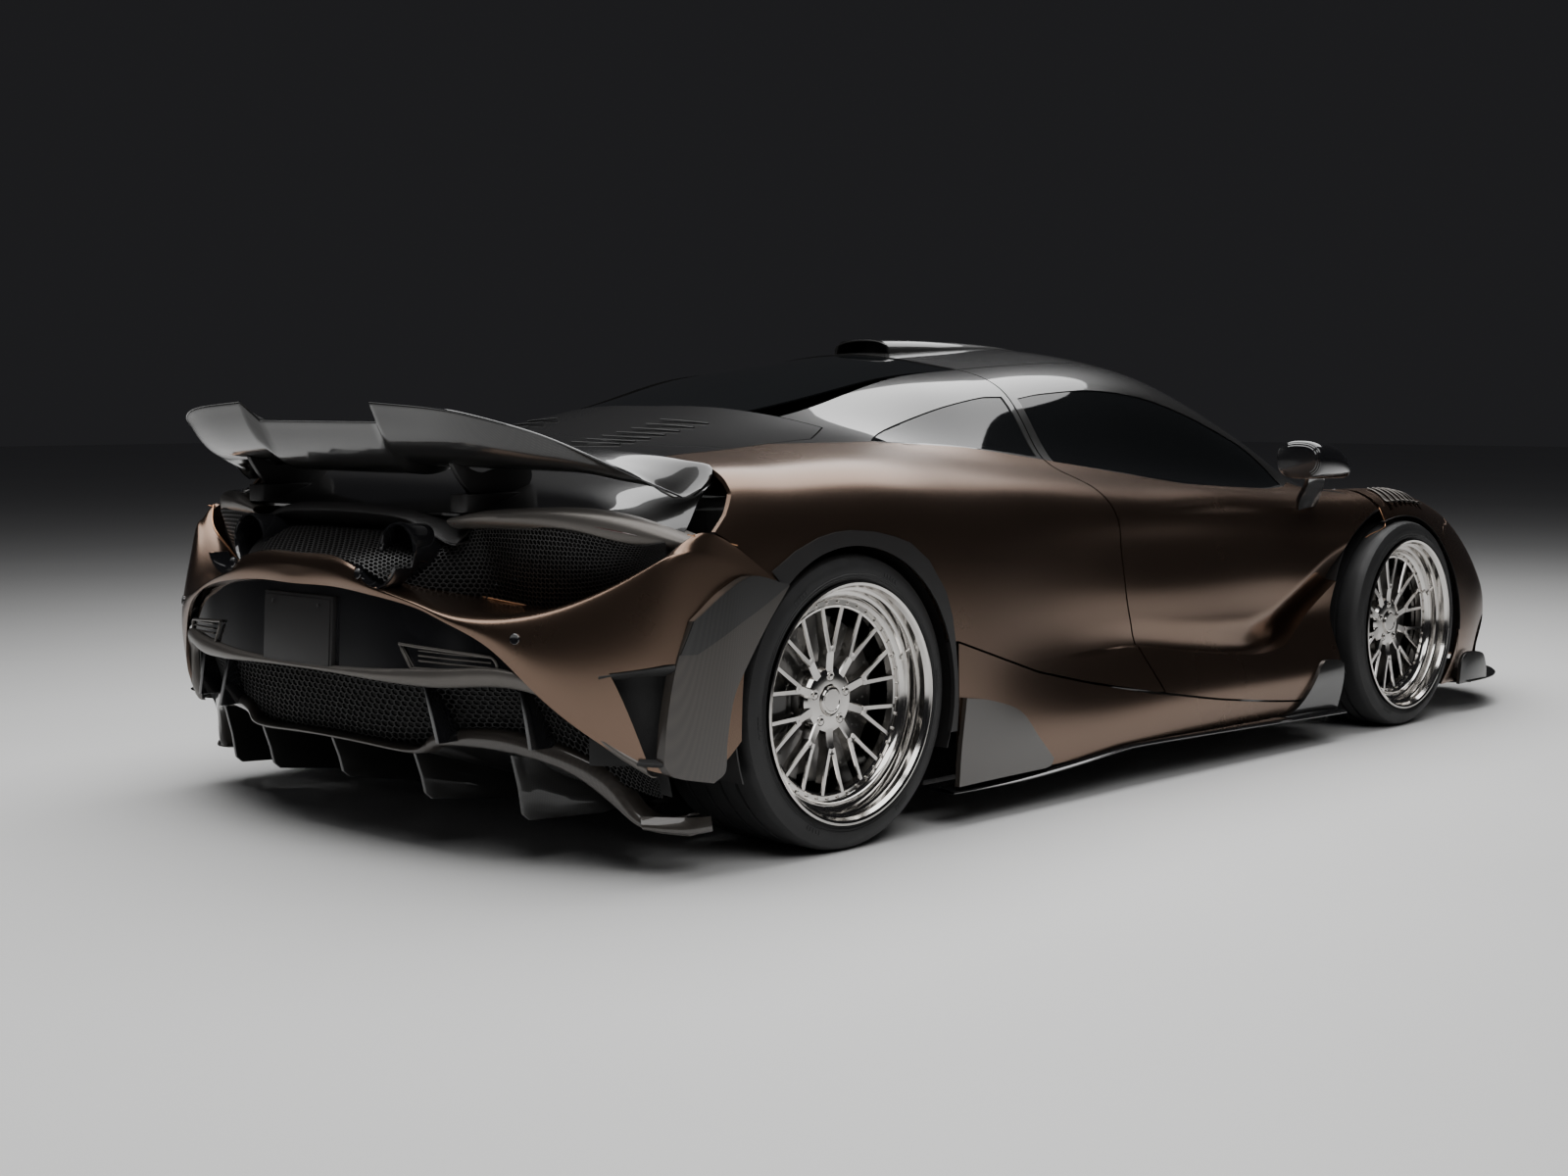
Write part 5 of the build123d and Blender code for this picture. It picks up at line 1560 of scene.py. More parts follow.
place(wing_mesh(), "body", "carbon", "rear_wing")
gurney = []
for side in (1, -1):
    line = cubic(
        [.258, .38, .502, .63, .702, .755, .80, .835],
        [
            (-.829, 1.037), (-.817, 1.030), (-.802, 1.019), (-.742, .988), (-.664, .952), (-.577, .906),
            (-.492, .863), (-.424, .83)
        ],
        np.linspace(.258, .835, 60)
    )
    gurney.append(
        tube(
            "edge",
            world([(t + .002, w * side, z - .001) for (t, z), w in zip(line, np.linspace(.258, .835, 60))]),
            0.0022, "gloss_black", 8
        )
    )
gurney.append(
    tube("edge", world([(-.790, w, .992) for w in np.linspace(-.236, .236, 12)]), 0.0022, "gloss_black", 8)
)
place(merge("rear_wing_edge", *gurney), "body", "carbon", "rear_wing")
pylons = []
for w in (.40, -.40):
    shape = rounded(
        [
            (-.66, .79), (-.50, .835), (-.485, .87), (-.505, .905), (-.55, .90), (-.63, .878), (-.70, .905),
            (-.715, .90), (-.69, .86), (-.665, .83)
        ],
        steps=5, keep=(0, 1)
    )
    pylons.append(plate("pylon", shape, "side", w - .008, w + .008, "satin_black", 0.003))
    pylons.append(
        plate(
            "foot",
            rounded(
                [(-.69, w - .03), (-.49, w - .035), (-.47, w), (-.49, w + .035), (-.69, w + .03), (-.705, w)],
                steps=4
            ),
            "top", .79, .832, "satin_black", 0.004
        )
    )
place(merge("wing_pylons", *pylons), "body", "black_plastic", "rear_wing")
slot_box = patch(
    "brake_lamp",
    [
        [(-.768, w, .935) for w in np.linspace(-.165, .08, 8)],
        [(-.775, w, .915) for w in np.linspace(-.165, .08, 8)]
    ],
    0.004, 40, 6, "lamp", centre=(REAR_AXLE - .6, 0, .93)
)
drop(slot_box)

# ------------------------------------------------------------------ blades, canards and bands on the sides
outer_skin = whole_body(0.016, -0.010)
band_skin = whole_body(0.012, -0.0035)


def arc_points(t, z, radius, start, end, n=40):
    return [
        (t + radius * math.cos(math.radians(a)), z + radius * math.sin(math.radians(a)))
        for a in np.linspace(start, end, n)
    ]


rear_band_line = [
    (-.271, .664), (-.19, .705), (-.11, .731), (-.05, .741), (.005, .743), (.08, .737), (.15, .722),
    (.205, .705), (.27, .66), (.332, .58), (.355, .52), (.367, .458), (.376, .38), (.378, .303), (.372, .24)
]
rear_band = rear_band_line + arc_points(0, REAR_Z, .362, -17, 130, 60)
place(
    carve(
        "rear_arch_bands", band_skin, [both(side_cutter(rear_band, .80, 1.1))], [rear_arch],
        ("satin_black",) * 3
    ),
    "body", "black_plastic", "rear_quarters"
)
front_band_line = [
    (2.295, .236), (2.32, .35), (2.35, .48), (2.385, .575), (2.43, .60), (2.49, .622), (2.571, .650),
    (2.682, .664), (2.769, .648), (2.858, .606), (2.912, .561), (2.986, .439), (3.033, .28)
]
front_band = front_band_line[::-1] + [
    (WHEELBASE + .374 * math.cos(math.radians(a)), FRONT_Z + .344 * math.sin(math.radians(a)))
    for a in np.linspace(195, -8, 70)
]
front_trim = carve(
    "front_arch_bands", band_skin, [both(side_cutter(front_band, .80, 1.1))],
    [front_arch, side_cutter([(2.0, 0), (2.56, 0), (2.56, 1), (2.0, 1)], -1.2, 1.2)], ("satin_black",) * 3
)
place(front_trim, "body", "black_plastic", "front_fenders")


def side_blade(name, outline, plan, material, out=0.020, depth=0.020, low=.12, high=.70):
    """A blade that follows a plan line (station, width), trimmed to an outline seen from the side."""
    rows = [[(t, w + out, z) for t, w in plan] for z in np.linspace(low, high, 6)]
    shell = patch(name, rows, depth, 90, 40, material, centre=(REAR_AXLE + plan[0][0], 0, .4))
    return carve(name, shell, [side_cutter(outline, .7, 1.1)], [], (material, material, material))


flare_line = rounded(
    [
        (-.231, .632), (-.349, .661), (-.43, .632), (-.508, .572), (-.538, .486), (-.556, .37), (-.563, .265),
        (-.545, .238), (-.46, .219), (-.431, .242), (-.426, .306), (-.406, .403), (-.36, .477), (-.30, .555)
    ],
    steps=5, keep=(0, 3, 6, 8)
)
flare = side_blade(
    "rear_flare_blades", flare_line,
    [(-.22, .958), (-.30, .960), (-.40, .960), (-.46, .950), (-.51, .934), (-.56, .905), (-.61, .862)],
    "carbon_satin"
)
place(pair(flare), "body", "carbon", "rear_bumper")
upper = rounded(
    [
        (-.236, .634), (-.349, .6605), (-.43, .6315), (-.507, .572), (-.534, .50), (-.50, .50), (-.40, .556),
        (-.32, .592)
    ],
    steps=4, keep=(0, 3, 4, 5)
)
upper = side_blade(
    "rear_flare_tops", upper,
    [(-.22, .958), (-.30, .960), (-.40, .960), (-.46, .950), (-.51, .934), (-.56, .905), (-.61, .862)],
    "carbon", out=.0235, depth=.008
)
place(pair(upper), "body", "carbon", "rear_bumper")
# A matte black patch set inside the side duct: painted shade of the recess.
duct = patch(
    "side_duct",
    [
        [
            (t + .02, w - .035, z)
            for t, w in [(-.46, .945), (-.51, .93), (-.56, .90), (-.61, .855), (-.655, .80)]
        ]
        for z in (.49, .37, .255)
    ],
    0.005, 20, 12, "matte_black", centre=(REAR_AXLE - .3, 0, .4)
)
canard = patch("canard", [
    [(-.640, .815, .462), (-.58, .880, .480), (-.52, .930, .488), (-.46, .950, .492)],
    [(-.655, .818, .452), (-.595, .890, .466), (-.53, .943, .470), (-.46, .962, .472)],
    [(-.640, .812, .440), (-.58, .872, .452), (-.52, .915, .452), (-.46, .935, .452)],
], 0.005, 40, 12, "carbon", centre=(REAR_AXLE - .3, 0, .46))
foot_blade = patch(
    "foot_blade",
    [
        [(-.585, .872, .276), (-.53, .925, .272), (-.46, .945, .268)],
        [(-.600, .878, .268), (-.54, .938, .262), (-.46, .958, .258)],
        [(-.585, .865, .258), (-.53, .91, .252), (-.46, .93, .248)]
    ],
    0.004, 30, 10, "gloss_black", centre=(REAR_AXLE - .3, 0, .26)
)
place(pair(merge("rear_side_ducts", duct, canard, foot_blade)), "body", "carbon", "rear_bumper")
winglet = patch(
    "winglet",
    [
        [(-.541, .824, .139), (-.471, .889, .135), (-.40, .90, .13)],
        [(-.545, .835, .112), (-.475, .895, .10), (-.40, .905, .098)],
        [(-.50, .80, .108), (-.44, .86, .100), (-.38, .88, .098)]
    ],
    0.005, 20, 10, "carbon_satin", centre=(REAR_AXLE - .4, .7, .2)
)
place(pair(winglet), "body", "carbon", "diffuser")
# Upright fins at the ends of the skirts, and the blade between them.
fin_skin = whole_body(0.014, -0.012)
rear_fin = rounded(
    [
        (.400, .318), (.50, .302), (.624, .263), (.70, .19), (.771, .125), (.760, .108), (.709, .100),
        (.372, .095), (.380, .20)
    ],
    steps=5, keep=(0, 4, 6, 7)
)
front_fin = rounded(
    [(1.90, .094), (2.02, .125), (2.142, .246), (2.22, .252), (2.258, .239), (2.258, .096)], steps=5,
    keep=(0, 4, 5)
)
place(
    carve(
        "skirt_rear_fins", fin_skin, [both(side_cutter(rear_fin, .8, 1.1))], [rear_arch],
        ("carbon_satin",) * 3
    ),
    "body", "carbon", "side_skirts"
)
place(
    carve("skirt_front_fins", fin_skin, [both(side_cutter(front_fin, .8, 1.1))], [], ("carbon",) * 3), "body",
    "carbon", "side_skirts"
)
blade_rows = [
    [
        (t, w, z)
        for t, w, z in (
            (.36, .925, .100), (.70, .935, .100), (1.04, .930, .110), (1.30, .925, .112), (1.96, .925, .104),
            (2.262, .93, .104)
        )
    ],
    [
        (t, w, z)
        for t, w, z in (
            (.36, .962, .094), (.70, .965, .094), (1.04, .960, .112), (1.30, .958, .114), (1.96, .962, .100),
            (2.262, .965, .094)
        )
    ],
    [
        (t, w, z)
        for t, w, z in (
            (.36, .966, .084), (.70, .968, .084), (1.04, .963, .102), (1.30, .961, .104), (1.96, .966, .090),
            (2.262, .968, .084)
        )
    ],
    [
        (t, w, z)
        for t, w, z in (
            (.36, .90, .086), (.70, .90, .086), (1.04, .895, .094), (1.30, .895, .095), (1.96, .90, .088),
            (2.262, .90, .086)
        )
    ]
]
place(
    pair(patch("skirt_blades", blade_rows, 0.003, 121, 17, "gloss_black", centre=(0, -.91, .09))), "body",
    "carbon", "side_skirts"
)

# ------------------------------------------------------------------ roof duct, louvres, deck details
scoop_rows = []
for t, half, top in (
    (1.12, .100, 1.214), (1.22, .104, 1.216), (1.35, .104, 1.215), (1.52, .094, 1.211), (1.70, .066, 1.203),
    (1.84, .03, 1.193)
):
    base = np.interp(t, [1.05, 1.4, 1.75, 1.9], [1.172, 1.190, 1.186, 1.155])
    rise = max(top - base, .004)
    scoop_rows.append(
        [
            (t, 0, top), (t, half * .45, top - .001), (t, half * .80, top - rise * .14),
            (t, half * .98, base + rise * .45), (t, half * 1.06, base - .006)
        ]
    )
scoop = patch("roof_duct", scoop_rows, 0.005, 61, 61, "carbon", mirror=True, centre=(0, 0, 1.15))
# A matte black plate inside the duct's mouth: painted shade of the duct behind it.
throat_shade_plate = plate(
    "duct_throat",
    [(-.095, 1.165), (.095, 1.165), (.088, 1.198), (.06, 1.209), (-.06, 1.209), (-.088, 1.198)], "behind",
    1.20, 1.205, "matte_black"
)
lip = tube(
    "duct_lip",
    world(
        [
            (
                1.121, math.sin(a) * .103 * (1 if abs(math.sin(a)) < .9 else 1.02),
                1.170 + .042 * max(math.cos(a), -.1) ** .5 if math.cos(a) > 0 else 1.170
            )
            for a in np.linspace(-math.pi / 2, math.pi / 2, 40)
        ]
    ),
    0.003, "gloss_black", 8
)
place(merge("roof_duct", scoop, throat_shade_plate, lip), "body", "carbon", "roof_scoop")
louvres = []
for k in range(17):
    t = .345 + k * .037
    half = np.interp(t, [.295, .60, 1.035], [.300, .352, .40])
    line = []
    for w in np.linspace(-half, half, 17):
        at = grid_at(t, abs(w))
        line.append((t, w, at - .014))
    low = [(p[0] - .020, p[1], p[2] - .006) for p in line]
    louvres.append(patch("louvre", [line, low], 0.0025, 40, 3, "satin_black", centre=(0, 0, .5)))
place(merge("rear_window_louvres", *louvres), "body", "black_plastic", "rear_windows")
ridge = []
for side in (1, -1):
    for k in range(7):
        t = -.18 + k * .05
        line = [(t + (w - .22) * .15, w * side, grid_at(t, w) + .004) for w in np.linspace(.20, .35, 9)]
        ridge.append(tube("slat", world(line), 0.004, "matte_black", 6, flat=.5))
place(merge("engine_deck_vents", *ridge), "body", "carbon", "engine_cover")


# ------------------------------------------------------------------ wheels
WHEELS = {
    "front": (WHEELBASE, FRONT_Z, .8325, .328, .255, .271), "rear": (0, REAR_Z, .8025, .3455, .315, .283)
}


def turned(profile, n=96, material="rubber", sharp=30, name="turned"):
    """A ring turned about the wheel's axis; profile of (outward distance from the middle, radius), closed."""
    return lathe(name, profile, (0, 0, 0), (0, -1, 0), material, n, sharp)


TREAD_CLEARANCE = 0.0004  # keeps the blocks of the tread above the floor


def make_tyre(half, radius, seat):
    """Tyre with a rounded shoulder, three grooves and rows of blocks."""
    radius -= TREAD_CLEARANCE
    profile = [
        (half - .024, seat), (half - .004, seat + .012), (half, seat + .022),
        (half + .0005, (seat + radius) / 2 + .004), (half - .002, radius - .022),
        (half - .009, radius - .009), (half - .018, radius - .0035), (half - .032, radius - .0005)
    ]
    top = []
    grooves = np.linspace(-half + .075, half - .075, 4)
    for g in grooves[::-1]:
        top += [(g + .005, radius), (g + .004, radius - .007), (g - .004, radius - .007), (g - .005, radius)]
    other = [(-s, r) for s, r in profile[::-1]]
    inner_side = [(-half + .03, seat - .002), (half - .03, seat - .002)]
    body = turned(profile + top + other + inner_side, 144, "rubber", 28, "tyre")
    blocks = []
    verts, faces = [], []
    count = 64
    for i in range(count):
        a = math.tau * i / count
        for side in (1, -1):
            for lane in range(2):
                s0 = half - .034 - lane * .001 if lane == 0 else grooves[-1] - .010
                s1 = half - .012 if lane == 0 else grooves[-1] - .026
                r0, r1 = (radius - .0012, radius - .0075) if lane == 0 else (radius - .001, radius - .001)
                skew = .012 if side > 0 else -.012
                base = len(verts)
                for s, r, turn in ((s0, r0, 0), (s1, r1, skew)):
                    for lift, da in ((0.0012, -.008), (.0012, .008), (-.004, .008), (-.004, -.008)):
                        c = a + turn + da + lane * .04
                        verts.append((math.cos(c) * (r + lift), -s * side, math.sin(c) * (r + lift)))
                for k in range(4):
                    m = (k + 1) % 4
                    faces.append((base + k, base + m, base + 4 + m, base + 4 + k))
                faces += [(base + 3, base + 2, base + 1, base), (base + 4, base + 5, base + 6, base + 7)]
    blocks = fix_normals(piece("blocks", verts, faces, "rubber", 20))
    rings = [
        turned(
            [(half + .0008, seat + r), (half + .0020, seat + r + .0012), (half + .0008, seat + r + .0024)],
            96, "rubber", 40
        )
        for r in (.020, .026)
    ]
    marks = []
    for i in range(6):
        for k in range(5):
            c0 = math.tau * i / 6 + k * .035
            c1 = c0 + .022
            r0, r1 = (seat + radius) / 2 - .004, (seat + radius) / 2 + .006
            ring = [
                (math.cos(c) * r, -(half + y), math.sin(c) * r) for y in (-.001, .0014)
                for c, r in ((c0, r0), (c1, r0), (c1, r1), (c0, r1))
            ]
            marks.append(
                fix_normals(
                    piece(
                        "mark", ring,
                        [(0, 1, 2, 3), (4, 5, 6, 7), (0, 1, 5, 4), (1, 2, 6, 5), (2, 3, 7, 6), (3, 0, 4, 7)],
                        "rubber", 20
                    )
                )
            )
    return merge("tyre", body, blocks, *rings, *marks)


def make_rim(half, seat):
    """Forged wheel: stepped polished barrel, ten forked spokes, edge bolts, five bolt holes and a plain cap."""
    face = half - .060
    barrel = turned(
        [
            (half - .022, seat - .0005), (half + .001, seat + .010), (half + .005, seat + .012),
            (half + .0065, seat + .007), (half + .003, seat + .001), (half - .006, seat - .0045),
            (half - .022, seat - .006), (half - .0235, seat - .0125), (half - .030, seat - .015),
            (half - .043, seat - .0165), (half - .0445, seat - .0235), (half - .050, seat - .026),
            (face + .010, seat - .0275), (face + .004, seat - .031), (face + .0005, seat - .036),
            (face - .002, seat - .036), (face - .002, seat - .024), (half - .046, seat - .010)
        ],
        128, "chrome", 26, "barrel"
    )
    # The inner barrel is dark iron: painted shade inside the barrel.
    well = turned(
        [
            (face - .002, seat - .020), (face - .003, seat - .034), (face - .030, seat - .034),
            (face - .034, seat - .040), (-half + .07, seat - .038), (-half + .05, seat - .010),
            (-half + .004, seat - .006), (-half, seat + .008), (-half + .006, seat + .008),
            (-half + .024, seat - .0005), (-half + .055, seat - .0005), (-half + .075, seat - .030),
            (face - .036, seat - .030), (face - .010, seat - .014)
        ],
        96, "iron", 26, "well"
    )
    rim_in = seat * .815
    inner_ring = turned(
        [
            (face - .002, seat - .035), (face - .001, rim_in + .016), (face - .0035, rim_in + .014),
            (face - .0035, rim_in + .003), (face - .0015, rim_in + .001), (face - .003, rim_in - .004),
            (face - .022, rim_in - .004), (face - .024, rim_in + .004), (face - .012, seat - .035)
        ],
        128, "silver", 26, "ring"
    )
    verts, faces = [], []

    def bar(p, q, w0, w1, lift0, lift1, deep0, deep1, n=7):
        """A tapering spoke from p to q (radius, angle), crowned on its face."""
        start = len(verts)
        pa = Vector((math.cos(p[1]) * p[0], math.sin(p[1]) * p[0]))
        qa = Vector((math.cos(q[1]) * q[0], math.sin(q[1]) * q[0]))
        d = (qa - pa).normalized()
        s = Vector((-d.y, d.x))
        for i in range(n):
            u = i / (n - 1)
            c = pa.lerp(qa, u)
            w = w0 * (1 - u) + w1 * u
            y = lift0 * (1 - u) + lift1 * u + math.sin(math.pi * u) * -.0015
            deep = deep0 * (1 - u) + deep1 * u
            for k, (a, b) in enumerate(
                ((-1, -deep), (-1, -.003), (-.72, 0), (.72, 0), (1, -.003), (1, -deep))
            ):
                v = c + s * (a * w)
                verts.append((v.x, -(y + b), v.y))
        for i in range(n - 1):
            for k in range(6):
                a, b = start + i * 6 + k, start + i * 6 + (k + 1) % 6
                faces.append((a, b, b + 6, a + 6))
        faces.append(tuple(start + k for k in range(6))[::-1])
        faces.append(tuple(start + (n - 1) * 6 + k for k in range(6)))

    for i in range(10):
        a = math.tau * i / 10 + math.pi / 10
        fork = seat * .455
        bar((.052, a), (fork + .004, a), .0125, .0112, face - .010, face - .0035, .030, .030)
        for side in (-1, 1):
            bar(
                (fork - .010, a + side * .045), (rim_in + .001, a + side * math.tau / 40), .0066, .0056,
                face - .0038, face - .001, .030, .022, 9
            )
    spokes = fix_normals(piece("spokes", verts, faces, "silver", 24))
    hub = turned(
        [
            (face - .034, .025), (face - .034, .080), (face - .020, .080), (face - .012, .074),
            (face - .0095, .066), (face - .0095, .038), (face - .012, .034), (face - .014, .025)
        ],
        80, "silver", 28, "hub"
    )
    hub_back = turned(
        [(face - .033, 0), (face - .033, .078), (face - .042, .078), (face - .042, 0)], 64, "silver", 28,
        "pad"
    )
    holes = []
    for i in range(5):
        a = math.tau * i / 5 + math.pi / 2
        at = (math.cos(a) * .056, 0, math.sin(a) * .056)
        holes.append(
            lathe(
                "well",
                [(face - .0092, .0125), (face - .008, .0115), (face - .0085, .0102), (face - .0093, .0102)],
                at, (0, -1, 0), "silver", 24
            )
        )
        # A matte black disc at the bottom of each bolt hole, round the nut: painted shade in the hole.
        holes.append(
            lathe(
                "dark", [(face - .0095, 0), (face - .0095, .0103), (face - .0088, .0103), (face - .0088, 0)],
                at, (0, -1, 0), "matte_black", 20
            )
        )
        holes.append(
            lathe(
                "nut",
                [
                    (face - .0088, 0), (face - .0088, .0075), (face - .0055, .0068), (face - .0045, .004),
                    (face - .0045, 0)
                ],
                at, (0, -1, 0), "steel", 6
            )
        )
    cap = turned(
        [
            (face - .014, 0), (face - .014, .0335), (face - .006, .0330), (face - .0035, .031),
            (face - .003, .027), (face - .0048, .0255), (face - .0045, 0)
        ],
        64, "silver", 28, "cap"
    )
    dish = turned(
        [(face - .0046, 0), (face - .0046, .025), (face - .0040, .0245), (face - .0036, 0)], 48, "chrome", 28,
        "dish"
    )
    bolts = []
    for i in range(40):
        a = math.tau * (i + .5) / 40
        for r, s in ((rim_in + .0088, face - .0035),):
            at = (math.cos(a) * r, 0, math.sin(a) * r)
            bolts.append(
                lathe(
                    "bolt", [(s, 0), (s, .0036), (s + .0035, .0034), (s + .0042, .0026), (s + .003, 0)], at,
                    (0, -1, 0), "chrome", 10
                )
            )
    valve = tube(
        "valve",
        [
            ((seat - .027) * math.cos(.35), -(half - .052), (seat - .027) * math.sin(.35)),
            ((seat - .045) * math.cos(.35), -(half - .036), (seat - .045) * math.sin(.35))
        ],
        .003, "steel", 8
    )
    return merge("rim", barrel, well, inner_ring, spokes, hub, hub_back, cap, dish, valve, *holes, *bolts)


def make_disc(half, radius):
    """Ventilated disc with drilled faces, its bell, hub and stub axle."""
    back = half - .060 - .034 - .0005
    face = back - .022
    disc = turned(
        [
            (face, .092), (face, radius - .002), (face - .001, radius), (face - .009, radius),
            (face - .010, radius - .004), (face - .010, .095)
        ],
        96, "steel", 28, "disc"
    )
    rear = turned(
        [
            (face - .022, .095), (face - .022, radius - .004), (face - .023, radius), (face - .031, radius),
            (face - .032, radius - .002), (face - .032, .095)
        ],
        96, "steel", 28, "disc"
    )
    vanes = []
    for i in range(36):
        a = math.tau * i / 36
        vanes.append(
            fix_normals(
                piece(
                    "vane",
                    [
                        (math.cos(a + d + k * .12) * r, -(face - y), math.sin(a + d + k * .12) * r)
                        for y in (.0095, .0225)
                        for d, r, k in (
                            (-.012, .10, 0), (.012, .10, 0), (.008, radius - .006, 1),
                            (-.008, radius - .006, 1)
                        )
                    ],
                    [(0, 1, 2, 3), (4, 5, 6, 7), (0, 1, 5, 4), (1, 2, 6, 5), (2, 3, 7, 6), (3, 0, 4, 7)],
                    "iron", 20
                )
            )
        )
    # Drilled holes drawn as thin matte black discs on the disc face: painted shade inside the holes.
    holes = []
    for i in range(30):
        for k in range(5):
            a = math.tau * i / 30 + k * .045
            r = .112 + k * .018
            holes.append(
                lathe(
                    "hole",
                    [(face + .0003, 0), (face + .0003, .0036), (face + .0010, .0030), (face + .0004, 0)],
                    (math.cos(a) * r, 0, math.sin(a) * r), (0, -1, 0), "matte_black", 8
                )
            )
    bell = turned(
        [
            (back - .001, 0), (back - .001, .074), (back - .010, .082), (back - .021, .086),
            (face - .001, .094), (face - .009, .096), (face - .009, .088), (back - .022, .080),
            (back - .016, .070), (back - .016, 0)
        ],
        80, "iron", 28, "bell"
    )
    stub = turned(
        [(back - .012, 0), (back - .012, .0225), (back - .128, .0225), (back - .130, .020), (back - .130, 0)],
        40, "steel", 28, "stub"
    )
    return merge("disc", disc, rear, bell, stub, *vanes, *holes)


def set_at(o, t, y, z, left):
    if left:
        o.data.transform(Matrix.Scale(-1, 4, (0, 1, 0)))
        o.data.flip_normals()
    o.data.transform(Matrix.Translation((REAR_AXLE + t, y if left else -y, z)))
    return o


def twin_of(o):
    copy = bpy.data.objects.new(o.name, o.data.copy())
    bpy.context.scene.collection.objects.link(copy)
    return copy


for end, (t, z, y, radius, width, seat) in WHEELS.items():
    half = width / 2
    parts = {
        "tyre": make_tyre(half, radius, seat - .012), "rim": make_rim(half, seat - .012),
        "brake_disc": make_disc(half, .195)
    }
    for kind, slot in (("tyre", "tyre"), ("rim", "alloy"), ("brake_disc", "iron")):
        for side in ("left", "right"):
            o = parts[kind] if side == "right" else twin_of(parts[kind])
            node = f"{kind}_{end}_{side}"
            o = set_at(o, t, y, z, side == "left")
            o.name = f"{node}_detailed"
            place(o, f"wheel_{end}_{side}", slot, node)


# ------------------------------------------------------------------ mirrors
def lofted(name, sections, material, power=2.6, n=40, sharp=30):
    """A closed body through rounded sections: (station, width, height, half width, half height)."""
    dense = cubic(range(len(sections)), sections, np.linspace(0, len(sections) - 1, 6 * len(sections)))
    verts = []
    for t, w, z, a, b in dense:
        for k in range(n):
            c = math.tau * k / n
            cw, cz = math.cos(c), math.sin(c)
            verts.append(
                (
                    REAR_AXLE + t, -(w + a * math.copysign(abs(cw) ** (2 / power), cw)),
                    z + b * math.copysign(abs(cz) ** (2 / power), cz)
                )
            )
    m = len(dense)
    faces = [
        (i * n + k, i * n + (k + 1) % n, (i + 1) * n + (k + 1) % n, (i + 1) * n + k) for i in range(m - 1)
        for k in range(n)
    ]
    faces += [tuple(range(n)), tuple(range((m - 1) * n, m * n))]
    return fix_normals(piece(name, verts, faces, material, sharp))


head = lofted(
    "mirror_head",
    [
        (1.900, 1.000, .866, .070, .050), (1.912, 1.000, .866, .0755, .0555), (1.96, 1.0, .865, .0765, .0565),
        (2.04, .998, .857, .070, .049), (2.12, .990, .842, .054, .036), (2.17, .980, .829, .036, .023),
        (2.205, .970, .819, .012, .008)
    ],
    "gloss_black"
)
rim_line = lofted(
    "mirror_rim", [(1.8965, 1.0, .866, .066, .046), (1.899, 1.0, .866, .068, .048)], "satin_black"
)
face = lofted("mirror_face", [(1.8945, 1.0, .866, .060, .040), (1.8965, 1.0, .866, .062, .042)], "mirror")
stalk = patch("mirror_stalk", [
    [(2.235, .868, .712), (2.20, .905, .752), (2.15, .945, .790), (2.10, .972, .822)],
    [(2.180, .882, .715), (2.15, .912, .757), (2.11, .948, .795), (2.06, .975, .826)],
    [(2.125, .872, .706), (2.09, .900, .742), (2.06, .938, .782), (2.02, .968, .818)],
], 0.014, 30, 16, "gloss_black", centre=(REAR_AXLE + 2.1, -.80, .80))
whole_mirror = merge("door_mirror", head, rim_line, face, stalk)
for side in ("right", "left"):
    o = whole_mirror if side == "right" else reflected(whole_mirror)
    o.name = f"door_mirror_{side}_detailed"
    place(o, f"door_{side}", "black_plastic", f"door_mirror_{side}")

# ------------------------------------------------------------------ fender louvres
louvre_cuts, slats = [], []
for k in range(7):
    t = 2.612 + k * .036
    louvre_cuts.append(
        prism(
            [
                (t, .835 - k * .003), (t, .918 - k * .002), (t + .019, .918 - k * .002),
                (t + .019, .835 - k * .003)
            ],
            "top", .60, .90
        )
    )
    rows = []
    for dt, lift in ((.0235, .0015), (.012, .0050), (-.001, .0075), (-.004, .0045)):
        rows.append(
            [(t + dt, w, grid_at(t + dt, w) + lift) for w in np.linspace(.838 - k * .003, .915 - k * .002, 9)]
        )
    slats.append(patch("slat", rows, 0.0025, 24, 10, "satin_grey", centre=(REAR_AXLE + t, 0, .2)))
fender_base = bpy.data.objects["front_fender_skins"]
cut_fender = carve("cut", fender_base, [], [both(c) for c in louvre_cuts])
fender_base.data = cut_fender.data
drop(cut_fender)
place(pair(merge("front_fender_louvres", *slats)), "body", "bronze_paint", "front_fenders")

# ------------------------------------------------------------------ nose
edge_row = outer[-1].copy()
centre = np.array((0, 0, .262))


def ring_row(x, scale):
    row = edge_row.copy()
    row[:, 1] = row[:, 1] * scale
    row[:, 2] = centre[2] + (row[:, 2] - centre[2]) * (1 - (1 - scale) * 1.9)
    row[:, 0] = x
    return row


ring_rows = np.array(
    [
        mirrored(r[None])[0]
        for r in (
            edge_row, ring_row(2.2735, .990), ring_row(2.268, .972), ring_row(2.250, .958),
            ring_row(2.215, .950)
        )
    ]
)
ring = patch_points(ring_rows[:, ::3], 160, 17)
verts, faces, kind = shell_mesh(
    ring, ring + np.array((-.002, 0, 0)) - (ring - np.array((2.24, 0, .262))) * .02
)
nose_ring = fix_normals(piece("nose_ring", verts, faces, "paint", 30))
place(nose_ring, "body", "bronze_paint", "front_bumper")
NOSE_MESH = [
    [(3.640, 0, .405), (3.640, .2, .404), (3.638, .4, .395), (3.632, .54, .372), (3.622, .62, .345)],
    [(3.646, 0, .262), (3.646, .2, .262), (3.642, .4, .262), (3.634, .56, .262), (3.622, .655, .262)],
    [(3.636, 0, .118), (3.636, .2, .118), (3.632, .4, .118), (3.626, .53, .120), (3.618, .62, .124)],
]
place(
    honeycomb("nose_mesh", surface_of(NOSE_MESH), 86, 20, 0.15, 0.006, "gloss_black"), "body",
    "black_plastic", "front_bumper"
)
